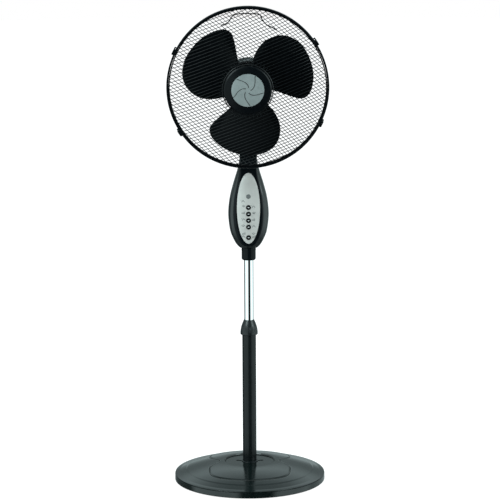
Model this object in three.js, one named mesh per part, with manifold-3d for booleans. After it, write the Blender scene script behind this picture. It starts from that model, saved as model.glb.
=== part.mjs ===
// Pedestal fan: a weighted round base, a telescopic pole, an egg-shaped control box and
// an oscillating, tilting head whose bladed rotor spins inside a wire cage.
// Millimetres, +Z up, the origin is the centre of the footprint on the floor.
// The air leaves towards -Y, so the front of the fan faces -Y.
import * as THREE from 'three';
import { mergeVertices } from 'three/addons/utils/BufferGeometryUtils.js';
import Module from 'manifold-3d';

const wasm = await Module();
wasm.setup();

// ---------------------------------------------------------------- driving dimensions
const GAP = 0.3; // clearance between neighbouring solids

// facets round a full turn, by size of the piece
const SMALL = 10;
const MEDIUM = 16;
const LARGE = 24;
const WIDE = 32;

// base
const FOOT_HEIGHT = 2.5;
const FOOT_COUNT = 4;
const FOOT_CIRCLE = 172;
const BASE_RADIUS = 207.5;
const BASE_RIM_WIDTH = 7; // from the rim's edge to the foot of the dome
const BASE_RIM_TOP = 22.6;
const BASE_DOME_TOP = 52.5;
const BASE_DOME_POWER = 1.6;
const BASE_RECESS_RADIUS = 68;
const BASE_RECESS_FLOOR = BASE_DOME_TOP - 2.4;
const BASE_WALL = 3;
const BALLAST_LOW = 5.3;
const BALLAST_HIGH = 14.3;
const FLANGE_RADIUS = 45;
const FLANGE_TOP = 70; // the flange's stub inside the pole

// telescopic pole
const POLE_RADIUS = 19;
const POLE_BORE = 17.5;
const POLE_TOP = 418;
const INNER_POLE_RADIUS = 13;
const INNER_POLE_BOTTOM = 292;
const INNER_POLE_TOP = 700;
const LOCK_NUT_BOTTOM = 411;
const LOCK_NUT_TOP = 453;

// control box and neck
const SOCKET_BOTTOM = 620;
const BOX_BOTTOM = 654;
const NECK_TOP = 985;
const NECK_HALF_WIDTH = 23.7;
const BOX_WALL = 3;
const BEZEL_SEAT_Y = -14; // the front bezel lies in front of this plane
const BEZEL_WALL = 3.7;
const PANEL_CENTRE_Z = 768;
const PANEL_HALF_WIDTH = 31.2;
const PANEL_HALF_HEIGHT = 97;
const PANEL_RECESS = 1.2;
const BUTTON_RADIUS = 5.6;
const BUTTON_TRAVEL = 1.5;
const BUTTON_HEIGHTS = { power: 688, swing: 717, mode: 735, speed: 753, timer: 771 };
const RECEIVER_Z = 801;
const BOARD_FRONT_Y = -31;
const SWITCH_HEIGHT = 2;

// tilt joint and oscillating mechanism
const TILT_Z = 1012;
const EAR_RADIUS = 11;
const EAR_INSIDE = 14;
const EAR_OUTSIDE = 20;
const YOKE_TOP = 999;
const BOLT_RADIUS = 4;
const BRACKET_TOP = 1029;
const PIVOT_TOP = 1053;
const CRANK_DISC_LOW = 1036.5;
const CRANK_DISC_HIGH = 1040.5;
const LINK_LOW = 1032.5;
const LINK_HIGH = 1035.5;
const SWING_MOTOR_LOW = 1053;
const SWING_MOTOR_HIGH = 1066;
const PIVOT_RADIUS = 6;
const LINK_LENGTH = 24;
const CRANK_THROW = 13;
const LINK_STUD = { x: 20, y: 34 };
const CRANK = { x: LINK_STUD.x - CRANK_THROW, y: LINK_STUD.y + LINK_LENGTH };

// head, measured from the motor axis
const HEAD_Z = 1106;
const SHAFT_RADIUS = 4;
const BELL_RADIUS = 50;
const COVER_RADIUS = 62;
const ROTOR_Y = -113; // mid-plane of the blades
const BLADE_TIP = 183;
const BLADE_COUNT = 3;
const RING_RADIUS = 216;
const RING_FRONT_Y = -124;
const RING_BACK_Y = -106;
const RIM_LIP_RADIUS = 207.4;
const RIM_WIRE_RADIUS = 208.6;
const WIRE_COUNT = 16;
const WIRE_THICKNESS = 2.6;
const BADGE_RADIUS = 63.8;
const INLAY_RADIUS = 43.3;
const CLIP_ANGLES = [33.5, 153.5, 213.5, 333.5];

// ---------------------------------------------------------------- solid helpers
const degrees = THREE.MathUtils.degToRad;

// One closed mesh: shared vertices merged, empty triangles dropped, faces pointing out.
function clean(geometry) {
  const bare = geometry.clone();
  bare.deleteAttribute('normal');
  bare.deleteAttribute('uv');
  const merged = mergeVertices(bare, 1e-4);
  const corners = merged.index.array;
  const kept = [];
  for (let i = 0; i < corners.length; i += 3) {
    const [a, b, c] = [corners[i], corners[i + 1], corners[i + 2]];
    if (a !== b && b !== c && c !== a) {
      kept.push(a, b, c);
    }
  }
  merged.setIndex(signedVolume(merged, kept) < 0 ? kept.reverse() : kept);
  return merged;
}

function signedVolume(geometry, corners) {
  const points = geometry.attributes.position;
  const [a, b, c] = [new THREE.Vector3(), new THREE.Vector3(), new THREE.Vector3()];
  let volume = 0;
  for (let i = 0; i < corners.length; i += 3) {
    a.fromBufferAttribute(points, corners[i]);
    b.fromBufferAttribute(points, corners[i + 1]);
    c.fromBufferAttribute(points, corners[i + 2]);
    volume += a.dot(b.cross(c)) / 6;
  }
  return volume;
}

function toSolid(geometry) {
  const mesh = clean(geometry);
  return new wasm.Manifold(new wasm.Mesh({
    numProp: 3,
    vertProperties: new Float32Array(mesh.attributes.position.array),
    triVerts: new Uint32Array(mesh.index.array),
  }));
}

function toGeometry(solid) {
  const mesh = solid.getMesh();
  const geometry = new THREE.BufferGeometry();
  geometry.setAttribute('position', new THREE.BufferAttribute(mesh.vertProperties, 3));
  geometry.setIndex(new THREE.BufferAttribute(mesh.triVerts, 1));
  return geometry;
}

function join(...geometries) {
  return toGeometry(geometries.map(toSolid).reduce((whole, piece) => whole.add(piece)));
}

function cut(geometry, ...tools) {
  return toGeometry(tools.map(toSolid).reduce((whole, tool) => whole.subtract(tool), toSolid(geometry)));
}

function overlap(first, second) {
  return toGeometry(toSolid(first).intersect(toSolid(second)));
}

// ---------------------------------------------------------------- shape helpers
const profilePoints = (pairs) => pairs.map(([radius, along]) => new THREE.Vector2(radius, along));

// A profile of [radius, height] pairs turned about the X, Y or Z axis.
function turned(pairs, axis = 'z', segments = MEDIUM) {
  const geometry = clean(new THREE.LatheGeometry(profilePoints(pairs), segments));
  if (axis === 'z') {
    geometry.rotateX(Math.PI / 2);
  }
  if (axis === 'x') {
    geometry.rotateZ(-Math.PI / 2);
  }
  return geometry;
}

function disc(radius, low, high, axis = 'z', segments = MEDIUM) {
  return turned([[0, low], [radius, low], [radius, high], [0, high]], axis, segments);
}

function tube(inner, outer, low, high, axis = 'z', segments = MEDIUM) {
  return turned([[inner, low], [outer, low], [outer, high], [inner, high], [inner, low]], axis, segments);
}

function block(x0, x1, y0, y1, z0, z1) {
  const geometry = new THREE.BoxGeometry(x1 - x0, y1 - y0, z1 - z0);
  return geometry.translate((x0 + x1) / 2, (y0 + y1) / 2, (z0 + z1) / 2);
}

// A flat outline drawn with a THREE.Shape and raised from z0 to z1.
function raised(shape, z0, z1, curveSegments = 8) {
  const geometry = new THREE.ExtrudeGeometry(shape, { depth: z1 - z0, bevelEnabled: false, curveSegments });
  return geometry.translate(0, 0, z0);
}

// A plate with two round ends, such as a link or a bracket arm.
function stadium(from, to, startRadius, endRadius) {
  const heading = Math.atan2(to.y - from.y, to.x - from.x);
  const length = Math.hypot(to.x - from.x, to.y - from.y);
  const flare = Math.acos((startRadius - endRadius) / length);
  const shape = new THREE.Shape();
  shape.absarc(from.x, from.y, startRadius, heading + flare, heading - flare + 2 * Math.PI, false);
  shape.absarc(to.x, to.y, endRadius, heading - flare, heading + flare, false);
  return shape;
}

function roundedRectangle(x0, x1, y0, y1, radius) {
  const shape = new THREE.Shape();
  shape.absarc(x1 - radius, y1 - radius, radius, 0, Math.PI / 2, false);
  shape.absarc(x0 + radius, y1 - radius, radius, Math.PI / 2, Math.PI, false);
  shape.absarc(x0 + radius, y0 + radius, radius, Math.PI, 1.5 * Math.PI, false);
  shape.absarc(x1 - radius, y0 + radius, radius, 1.5 * Math.PI, 2 * Math.PI, false);
  return shape;
}

// Rings of equal point counts skinned into one closed solid.
function loft(rings) {
  const count = rings[0].length;
  const positions = rings.flat().flatMap((point) => [point.x, point.y, point.z]);
  const triangles = [];
  for (let level = 0; level < rings.length - 1; level += 1) {
    for (let i = 0; i < count; i += 1) {
      const next = (i + 1) % count;
      const [low, high] = [level * count, (level + 1) * count];
      triangles.push(low + i, low + next, high + next, low + i, high + next, high + i);
    }
  }
  const top = (rings.length - 1) * count;
  for (let i = 1; i < count - 1; i += 1) {
    triangles.push(0, i + 1, i, top, top + i, top + i + 1);
  }
  const geometry = new THREE.BufferGeometry();
  geometry.setAttribute('position', new THREE.Float32BufferAttribute(positions, 3));
  geometry.setIndex(triangles);
  return geometry;
}

// A smooth function of height through a few [height, value] stations.
function smoothThrough(stations) {
  const slope = (i) => {
    const low = stations[Math.max(i - 1, 0)];
    const high = stations[Math.min(i + 1, stations.length - 1)];
    return (high[1] - low[1]) / (high[0] - low[0]);
  };
  return (height) => {
    const last = stations.length - 2;
    const found = stations.findIndex((station, i) => i > 0 && height <= station[0]) - 1;
    const i = found < 0 ? (height <= stations[0][0] ? 0 : last) : found;
    const span = stations[i + 1][0] - stations[i][0];
    const t = THREE.MathUtils.clamp((height - stations[i][0]) / span, 0, 1);
    const rise = stations[i + 1][1] - stations[i][1];
    const bend = (slope(i) * span - rise) * (1 - t) + (rise - slope(i + 1) * span) * t;
    return stations[i][1] + t * rise + t * (1 - t) * bend;
  };
}

// ---------------------------------------------------------------- base
// Height of the shallow dome between the rim and the recess round the pole.
function domeHeight(radius) {
  const t = (radius - BASE_RECESS_RADIUS) / (BASE_RADIUS - BASE_RIM_WIDTH - BASE_RECESS_RADIUS);
  return BASE_DOME_TOP - (BASE_DOME_TOP - BASE_RIM_TOP) * t ** BASE_DOME_POWER;
}

function baseCover() {
  const skirt = FOOT_HEIGHT + 0.5;
  const poleHole = POLE_RADIUS + GAP;
  const stations = [BASE_RADIUS - BASE_RIM_WIDTH, 162, 120, BASE_RECESS_RADIUS + 1.5];
  const outside = stations.map((radius) => [radius, domeHeight(radius)]);
  const inside = stations.map((radius) => [radius - 1, domeHeight(radius) - BASE_WALL]).reverse();
  return turned([
    [BASE_RADIUS - BASE_WALL, skirt], [BASE_RADIUS, skirt], [BASE_RADIUS, BASE_RIM_TOP - 5.4],
    [BASE_RADIUS - 1.4, BASE_RIM_TOP - 4.8], [BASE_RADIUS - 0.6, BASE_RIM_TOP - 3.6],
    [BASE_RADIUS - 2.6, BASE_RIM_TOP - 1],
    ...outside, [BASE_RECESS_RADIUS - 1, BASE_RECESS_FLOOR], [poleHole, BASE_RECESS_FLOOR + 0.8],
    [poleHole, BASE_RECESS_FLOOR + 0.8 - BASE_WALL], [BASE_RECESS_RADIUS - 2, BASE_RECESS_FLOOR - BASE_WALL],
    ...inside, [BASE_RADIUS - BASE_WALL, BASE_RIM_TOP - 6], [BASE_RADIUS - BASE_WALL, skirt],
  ], 'z', WIDE);
}

const BOLT_HOLE_RADIUS = 5.2;

function basePan() {
  const edge = BASE_RADIUS - BASE_WALL - GAP;
  return tube(BOLT_HOLE_RADIUS, edge, FOOT_HEIGHT + GAP, BALLAST_LOW - GAP, 'z', WIDE);
}

const baseBallast = () => tube(FLANGE_RADIUS + 5, 130, BALLAST_LOW, BALLAST_HIGH, 'z', LARGE);

function poleFlange() {
  const plate = BALLAST_LOW + 3;
  const bolted = 22; // top of the solid end that takes the base bolt
  return turned([
    [BOLT_HOLE_RADIUS, BALLAST_LOW], [FLANGE_RADIUS, BALLAST_LOW], [FLANGE_RADIUS, plate],
    [POLE_BORE - GAP, plate], [POLE_BORE - GAP, FLANGE_TOP], [POLE_BORE - 4, FLANGE_TOP],
    [POLE_BORE - 4, bolted], [BOLT_HOLE_RADIUS, bolted], [BOLT_HOLE_RADIUS, BALLAST_LOW],
  ]);
}

const baseBolt = () => turned([[0, 0.7], [8, 0.7], [9, 1.6], [9, 2.5], [4.8, 2.5], [4.8, 22], [0, 22]]);
const footPad = () => turned([[0, 0], [10, 0], [11, 1], [11, FOOT_HEIGHT], [0, FOOT_HEIGHT]], 'z', SMALL);

// ---------------------------------------------------------------- telescopic pole
const outerPole = () => tube(POLE_BORE, POLE_RADIUS, 8.6, POLE_TOP, 'z', LARGE);

function poleSleeve() {
  const bore = INNER_POLE_RADIUS + GAP;
  return turned([
    [bore, 348], [POLE_BORE - GAP, 348], [POLE_BORE - GAP, POLE_TOP + GAP], [POLE_RADIUS, POLE_TOP + GAP],
    [POLE_RADIUS, 421.5], [16.5, 421.5], [16.5, 438], [bore, 438], [bore, 348],
  ], 'z', LARGE);
}

// A split ring that the lock nut squeezes onto the inner pole.
function clampCollet() {
  const bore = INNER_POLE_RADIUS + GAP;
  const ring = turned([[bore, 438.4], [16, 438.4], [14.6, 449], [bore, 449], [bore, 438.4]], 'z', LARGE);
  return cut(ring, block(-1.2, 1.2, -20, 0, 430, 455));
}

function lockNut() {
  return turned([
    [POLE_RADIUS + 0.4, LOCK_NUT_BOTTOM], [23.4, LOCK_NUT_BOTTOM], [24, 413], [24, 419], [23.1, 425],
    [21.7, 432], [19.6, 439], [16.9, 446], [13.9, LOCK_NUT_TOP],
    [INNER_POLE_RADIUS + 0.35, LOCK_NUT_TOP], [INNER_POLE_RADIUS + 0.35, 449.6], [15, 449.4],
    [16.9, 438], [16.9, 422], [POLE_RADIUS + 0.4, 422], [POLE_RADIUS + 0.4, LOCK_NUT_BOTTOM],
  ], 'z', LARGE);
}

const innerPole = () => tube(11.6, INNER_POLE_RADIUS, INNER_POLE_BOTTOM, INNER_POLE_TOP, 'z', LARGE);

function innerPoleStop() {
  return turned([
    [0, INNER_POLE_BOTTOM - 6], [POLE_BORE - 0.4, INNER_POLE_BOTTOM - 6],
    [POLE_BORE - 0.4, INNER_POLE_BOTTOM - GAP], [11.2, INNER_POLE_BOTTOM - GAP],
    [11.2, INNER_POLE_BOTTOM + 20], [0, INNER_POLE_BOTTOM + 20],
  ]);
}

// ---------------------------------------------------------------- control box
const boxHalfWidth = smoothThrough([
  [BOX_BOTTOM, 24.5], [664, 33.5], [680, 42.3], [698, 49.3], [723, 53.6], [750, 55.3],
  [780, 52.9], [805, 48.4], [838, 39.4], [870, 29.6], [892, 24.8], [912, NECK_HALF_WIDTH - 0.4],
  [NECK_TOP, NECK_HALF_WIDTH - 0.4],
]);
const boxFrontDepth = smoothThrough([
  [BOX_BOTTOM, 18], [690, 28], [760, 32], [850, 26], [900, 20], [NECK_TOP, 20],
]);
const boxBackDepth = smoothThrough([
  [BOX_BOTTOM, 20], [690, 30], [760, 35], [850, 27], [900, 22], [NECK_TOP, 21],
]);
const bezelHalfWidth = smoothThrough([
  [664, 15], [676, 24.5], [690, 31.5], [718, 39], [753, 41.4],
  [797, 38.2], [826, 32.4], [858, 26.2], [877, 24], [905, NECK_HALF_WIDTH], [NECK_TOP, NECK_HALF_WIDTH],
]);
const bezelFrontY = smoothThrough([[664, -38.9], [671, -39.5], [720, -41.3], [768, -42], [816, -41.4],
  [865, -39.2], [890, -32], [915, -25.5], [NECK_TOP, -24]]);

const BOX_LEVELS = [BOX_BOTTOM, 662, 676, 696, 724, 760, 800, 835, 867, 895, NECK_TOP];
const BEZEL_LEVELS = [664, 670, 682, 705, 740, 768, 800, 835, 866, 880, 900, NECK_TOP];
const SHELL_ROUNDNESS = 2.3;
const BEZEL_ROUNDNESS = 6;

const superellipse = (value, roundness) => Math.sign(value) * Math.abs(value) ** (2 / roundness);

// The box's outer skin, or its cavity when an inset is given.
function boxBody(inset, levels) {
  const points = 20;
  return loft(levels.map((z) => {
    const ring = [];
    for (let i = 0; i < points; i += 1) {
      const angle = (2 * Math.PI * i) / points;
      const across = superellipse(Math.cos(angle), SHELL_ROUNDNESS);
      const along = superellipse(Math.sin(angle), SHELL_ROUNDNESS);
      const depth = along > 0 ? boxBackDepth(z) : boxFrontDepth(z);
      ring.push(new THREE.Vector3(across * (boxHalfWidth(z) - inset), along * (depth - inset), z));
    }
    return ring;
  }));
}

// A D-shaped tower in front of the seat plane, grown or shrunk sideways and at the front.
function bezelBody(sideGrowth, frontGrowth, seatY, levels) {
  const points = 12;
  return loft(levels.map((z) => {
    const ring = [];
    const depth = seatY - bezelFrontY(z) + frontGrowth;
    for (let i = 0; i <= points; i += 1) {
      const angle = Math.PI + (Math.PI * i) / points;
      const across = superellipse(Math.cos(angle), BEZEL_ROUNDNESS) * (bezelHalfWidth(z) + sideGrowth);
      const along = i === 0 || i === points ? 0 : superellipse(Math.sin(angle), BEZEL_ROUNDNESS) * depth;
      ring.push(new THREE.Vector3(across, seatY + along, z));
    }
    return ring;
  }));
}

// A slab that follows the bezel's crowned front, between two offsets from it.
function frontSlab(frontOffset, backOffset) {
  const levels = BEZEL_LEVELS.filter((z) => z > BEZEL_LEVELS[0] && z < 880);
  const halfWidth = PANEL_HALF_WIDTH + 5;
  return loft(levels.map((z) => {
    const front = bezelFrontY(z) + frontOffset;
    const back = bezelFrontY(z) + backOffset;
    return [
      new THREE.Vector3(-halfWidth, front, z), new THREE.Vector3(halfWidth, front, z),
      new THREE.Vector3(halfWidth, back, z), new THREE.Vector3(-halfWidth, back, z),
    ];
  }));
}

function panelOutline(growth) {
  const oval = new THREE.Shape();
  oval.absellipse(0, 0, PANEL_HALF_WIDTH + growth, PANEL_HALF_HEIGHT + growth, 0, 2 * Math.PI, false, 0);
  const prism = raised(oval, 0, 30, 14);
  return prism.rotateX(Math.PI / 2).translate(0, -25, PANEL_CENTRE_Z);
}

// Round holes through the front for the buttons and the receiver.
function frontHoles(buttonRadius, receiverRadius) {
  const hole = (radius, z) => disc(radius, -60, -30, 'y', 12).translate(0, 0, z);
  const holes = Object.values(BUTTON_HEIGHTS).map((z) => hole(buttonRadius, z));
  holes.push(hole(receiverRadius, RECEIVER_Z));
  return holes;
}

// Where the two housing screws enter the back of the box.
const SHELL_SCREWS = [{ x: 0, z: 716 }, { x: 0, z: 836 }].map(({ x, z }) => {
  const part = Math.abs(x / boxHalfWidth(z)) ** SHELL_ROUNDNESS;
  return { x, z, y: boxBackDepth(z) * (1 - part) ** (1 / SHELL_ROUNDNESS) - 1.4 };
});

function boxRearShell() {
  const innerLevels = [BOX_BOTTOM + BOX_WALL, ...BOX_LEVELS.slice(2, -1), NECK_TOP + 1];
  const bezelLevels = [660, ...BEZEL_LEVELS.slice(1, -1), NECK_TOP + 1];
  const hollow = boxBody(BOX_WALL, innerLevels);
  const bezelRoom = bezelBody(GAP, 30, BEZEL_SEAT_Y + GAP, bezelLevels);
  const poleHole = disc(INNER_POLE_RADIUS + 0.4, BOX_BOTTOM - 2, BOX_BOTTOM + 8, 'z', LARGE);
  const cordHole = disc(4.6, 10, 60, 'y', 12).translate(0, 0, 676);
  const screwSeats = SHELL_SCREWS.flatMap(({ x, y, z }) => [
    disc(4.2, y, y + 12, 'y', SMALL).translate(x, 0, z),
    disc(1.9, y - 12, y + 2, 'y', SMALL).translate(x, 0, z),
  ]);
  return cut(boxBody(0, BOX_LEVELS), hollow, bezelRoom, poleHole, cordHole, ...screwSeats);
}

function boxFrontBezel() {
  const hollowLevels = [668, ...BEZEL_LEVELS.slice(2, -1), NECK_TOP + 1];
  const hollow = bezelBody(-2.6, -BEZEL_WALL, BEZEL_SEAT_Y + 1, hollowLevels);
  const recess = overlap(frontSlab(-8, PANEL_RECESS), panelOutline(GAP));
  return cut(
    bezelBody(0, 0, BEZEL_SEAT_Y, BEZEL_LEVELS),
    hollow, recess, ...frontHoles(BUTTON_RADIUS + 0.4, 4.3),
  );
}

function controlPanel() {
  const plate = overlap(frontSlab(-0.4, PANEL_RECESS - GAP), panelOutline(0));
  return cut(plate, ...frontHoles(BUTTON_RADIUS + 0.4, 6.3));
}

// The board with one push switch behind every button.
function circuitBoard() {
  const plate = block(-21, 21, BOARD_FRONT_Y, BOARD_FRONT_Y + 1.6, 682, 850);
  const switches = Object.values(BUTTON_HEIGHTS).map((z) => {
    const body = BOARD_FRONT_Y - SWITCH_HEIGHT;
    return block(-3, 3, body, BOARD_FRONT_Y + 0.5, z - 3, z + 3);
  });
  return join(plate, ...switches);
}

function pushButton(z) {
  const front = bezelFrontY(z) - 2;
  const flange = bezelFrontY(z) + BEZEL_WALL + 0.8;
  const stemEnd = BOARD_FRONT_Y - SWITCH_HEIGHT - BUTTON_TRAVEL - GAP;
  return turned([
    [0, front - 0.5], [4.6, front - 0.1], [BUTTON_RADIUS, front + 0.7], [BUTTON_RADIUS, flange],
    [BUTTON_RADIUS + 1.6, flange], [BUTTON_RADIUS + 1.6, flange + 1.1], [2.4, flange + 1.1], [2.4, stemEnd],
    [0, stemEnd],
  ], 'y', 12);
}

function receiverWindow() {
  const front = bezelFrontY(RECEIVER_Z);
  return turned([
    [0, front - 0.9], [6, front - 0.2], [6, front + 0.8], [4, front + 0.8],
    [4, front + 5.5], [0, front + 5.5],
  ], 'y', 12);
}

const shellScrew = ({ y }) => turned([
  [0, y - 9], [1.5, y - 9], [1.5, y + GAP], [3.8, y + GAP], [3.4, y + 1.7], [0, y + 2.2],
], 'y', SMALL);

function columnSocket() {
  const bore = INNER_POLE_RADIUS + GAP;
  const sleeve = turned([
    [bore, SOCKET_BOTTOM], [17.6, SOCKET_BOTTOM], [19.4, SOCKET_BOTTOM + 3], [19.4, BOX_BOTTOM - GAP],
    [bore, BOX_BOTTOM - GAP], [bore, SOCKET_BOTTOM],
  ], 'z', LARGE);
  return cut(sleeve, disc(2.4, 5, 30, 'y', SMALL).translate(0, 0, 640));
}

const socketScrew = () => turned([
  [0, INNER_POLE_RADIUS + 0.4], [2, INNER_POLE_RADIUS + 0.4], [2, 19.7], [4.2, 19.7], [4.2, 22], [0, 22.4],
], 'y', SMALL);
const cordInlet = () => turned([
  [2.6, 24], [4.3, 24], [4.3, 30], [6.5, 30], [5.6, 33], [2.6, 33], [2.6, 24],
], 'y', 12);
const motorCapacitor = () => raised(roundedRectangle(-18.5, 18.5, 4, 18, 3), 756, 784, 3);

// ---------------------------------------------------------------- tilt joint
// A vertical plate across X, round about the tilt axis and straight below or above it.
function tiltPlate(radius, reach, x0, x1) {
  const sign = Math.sign(reach);
  const outline = new THREE.Shape();
  outline.moveTo(radius, reach);
  outline.absarc(0, 0, radius, 0, sign > 0 ? -Math.PI : Math.PI, sign > 0);
  outline.lineTo(-radius, reach);
  outline.lineTo(radius, reach);
  const plate = raised(outline, x0, x1, 8);
  return plate.rotateX(Math.PI / 2).rotateZ(Math.PI / 2).translate(0, 0, TILT_Z);
}

const boltBore = () => disc(BOLT_RADIUS + 0.4, -30, 30, 'x', 12).translate(0, 0, TILT_Z);

function neckYoke() {
  const foot = NECK_TOP + GAP;
  const plug = raised(roundedRectangle(-21, 21, -19, 19, 8), foot, YOKE_TOP, 3);
  const earFoot = YOKE_TOP - 9 - TILT_Z;
  const leftEar = tiltPlate(EAR_RADIUS, earFoot, -EAR_OUTSIDE, -EAR_INSIDE);
  const rightEar = tiltPlate(EAR_RADIUS, earFoot, EAR_INSIDE, EAR_OUTSIDE);
  return cut(join(plug, leftEar, rightEar), boltBore());
}

function tiltBracket() {
  const halfWidth = EAR_INSIDE - GAP;
  const tongue = tiltPlate(EAR_RADIUS - 0.5, BRACKET_TOP - 2 - TILT_Z, -halfWidth, halfWidth);
  const platform = raised(stadium({ x: 0, y: 0 }, LINK_STUD, 13, 6), BRACKET_TOP - 4, BRACKET_TOP, 8);
  const pivotPin = disc(PIVOT_RADIUS, BRACKET_TOP - 9, PIVOT_TOP);
  const stud = disc(3.4, BRACKET_TOP - 2, LINK_LOW - 0.5, 'z', SMALL);
  const linkStud = stud.translate(LINK_STUD.x, LINK_STUD.y, 0);
  return cut(join(tongue, platform, pivotPin, linkStud), boltBore());
}

// A lobed hand knob on the end of the tilt bolt.
function tiltKnob() {
  const grip = turned([[0, 20.4], [11, 20.4], [12.6, 22], [12.6, 31], [10.5, 33.6], [0, 34.2]], 'x', LARGE);
  const bolt = disc(BOLT_RADIUS, -26.4, 22, 'x', 12);
  const flutes = [];
  for (let i = 0; i < 6; i += 1) {
    const flute = disc(3, 23, 40, 'x', 8).translate(0, 14, 0);
    flutes.push(flute.rotateX((i * Math.PI) / 3));
  }
  return cut(join(grip, bolt), ...flutes).translate(0, 0, TILT_Z);
}

const tiltNut = () => tube(BOLT_RADIUS + 1, 8, -25.4, -EAR_OUTSIDE - 0.4, 'x', 6).translate(0, 0, TILT_Z);

// ---------------------------------------------------------------- oscillating mechanism
function swingCrank() {
  const shaftTop = SWING_MOTOR_LOW - 0.4;
  const plate = disc(16.5, CRANK_DISC_LOW, CRANK_DISC_HIGH).translate(CRANK.x, CRANK.y, 0);
  const shaft = disc(3, CRANK_DISC_HIGH - 0.5, shaftTop, 'z', SMALL).translate(CRANK.x, CRANK.y, 0);
  const pin = disc(3, LINK_LOW, CRANK_DISC_LOW + 0.5, 'z', SMALL)
    .translate(CRANK.x + CRANK_THROW, CRANK.y, 0);
  return join(plate, shaft, pin);
}

function swingLink() {
  const crankPin = { x: CRANK.x + CRANK_THROW, y: CRANK.y };
  const arm = raised(stadium(LINK_STUD, crankPin, 5, 5), LINK_LOW, LINK_HIGH, 8);
  return cut(arm, disc(3.5, LINK_LOW - 1, LINK_HIGH + 1, 'z', SMALL).translate(crankPin.x, crankPin.y, 0));
}

function swingMotor() {
  const pocket = SWING_MOTOR_LOW + 5;
  return turned([
    [3.6, SWING_MOTOR_LOW], [18, SWING_MOTOR_LOW], [18, SWING_MOTOR_HIGH], [0, SWING_MOTOR_HIGH],
    [0, pocket], [3.6, pocket], [3.6, SWING_MOTOR_LOW],
  ]).translate(CRANK.x, CRANK.y, 0);
}

// ---------------------------------------------------------------- motor, about its own axis
const floorOf = (z) => z - HEAD_Z; // a height above the floor, seen from the motor axis

function motorMount() {
  const bell = disc(BELL_RADIUS, -44, -38, 'y', LARGE);
  const boss = disc(20, -60, -40, 'y', LARGE);
  const leg = block(-9, 9, -42, -33, floorOf(1034), floorOf(1076));
  const foot = block(-9, 9, -34, 0, floorOf(1034), floorOf(1056));
  const bearingBlock = disc(11, floorOf(1031.5), floorOf(1056));
  const bearingBore = disc(PIVOT_RADIUS + 0.4, floorOf(1020), floorOf(1070));
  return cut(join(bell, boss, leg, foot, bearingBlock), disc(9.4, -70, -30, 'y'), bearingBore);
}

const SLOT_COUNT = 4;

// Round bars parallel to the shaft, one for each slot of the stator.
function slotBars(radius, low, high) {
  const bars = [];
  for (let i = 0; i < SLOT_COUNT; i += 1) {
    bars.push(disc(radius, low, high, 'y', 8).translate(34, 0, 0).rotateY((2 * Math.PI * i) / SLOT_COUNT));
  }
  return bars;
}

const motorStator = () => cut(tube(24.6, 45, -20, 12, 'y', LARGE), ...slotBars(4.6, -30, 30));
const motorWinding = () => join(
  tube(27, 41, -32, -20.3, 'y'), tube(27, 41, 12.3, 24, 'y'), ...slotBars(4.2, -22, 14),
);
const rotorCore = () => tube(SHAFT_RADIUS + GAP, 24, -20, 12, 'y');
const motorShaft = () => disc(SHAFT_RADIUS, -144, 46, 'y', 12);
const frontBearing = () => tube(SHAFT_RADIUS + 0.35, 9, -58, -39, 'y', 12);
const rearBearing = () => tube(SHAFT_RADIUS + 0.35, 9, 30, 43, 'y', 12);

function motorRearBell() {
  return turned([
    [9.4, 30], [BELL_RADIUS, 30], [BELL_RADIUS, 34], [14, 34], [14, 43], [9.4, 43], [9.4, 30],
  ], 'y', LARGE);
}

// A round-backed housing with a square skirt round the oscillating mechanism.
function rearMotorCover() {
  const wall = 2.5;
  const outside = turned([
    [0, -36], [COVER_RADIUS, -36], [COVER_RADIUS, 60], [57.5, 84], [42, 100], [24, 104], [0, 104],
  ], 'y', LARGE);
  const inside = turned([
    [0, -40], [COVER_RADIUS - wall, -40], [COVER_RADIUS - wall, 59.5], [55.2, 82.6], [40.8, 97.6],
    [23.6, 101.5], [0, 101.5],
  ], 'y', LARGE);
  const skirtLow = floorOf(1036);
  const skirt = raised(roundedRectangle(-30, 30, -24, 82, 12), skirtLow, -50, 3);
  const skirtInside = roundedRectangle(-30 + wall, 30 - wall, -24 + wall, 82 - wall, 12 - wall);
  const skirtRoom = raised(skirtInside, -80, -45, 3);
  const legRoom = block(-10, 10, -40, -18, -80, -40);
  const screwHole = disc(2.4, 90, 120, 'y', SMALL);
  return cut(join(outside, skirt), inside, skirtRoom, legRoom, screwHole);
}

const coverScrew = () => turned([
  [0, 84], [2, 84], [2, 104.3], [4.5, 104.3], [4, 106.4], [0, 107],
], 'y', SMALL);

// ---------------------------------------------------------------- rotor
// The blade's edges as angles from its own centre line, by radius.
const trailingEdge = smoothThrough([
  [20, 46], [62, 50], [84, 49], [108, 45.5], [131, 40.5], [152, 33.5], [168, 26], [179, 16], [BLADE_TIP, 5],
]);
const leadingEdge = smoothThrough([
  [20, -34], [62, -39], [84, -41], [108, -43], [138, -43.8], [154, -42], [166, -36.5], [173, -28],
  [179.5, -14], [BLADE_TIP, 5],
]);

// How far the sheet stands from the rotor's mid-plane: the leading edge lies towards the motor.
function bladeLift(radius, angle) {
  const along = radius * degrees(angle);
  const pitch = Math.tan(degrees(THREE.MathUtils.lerp(30, 9, radius / BLADE_TIP)));
  const camber = 5 * (1 - (angle / 45) ** 2);
  return THREE.MathUtils.clamp(-along * pitch, -22, 22) - camber + 4;
}

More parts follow.
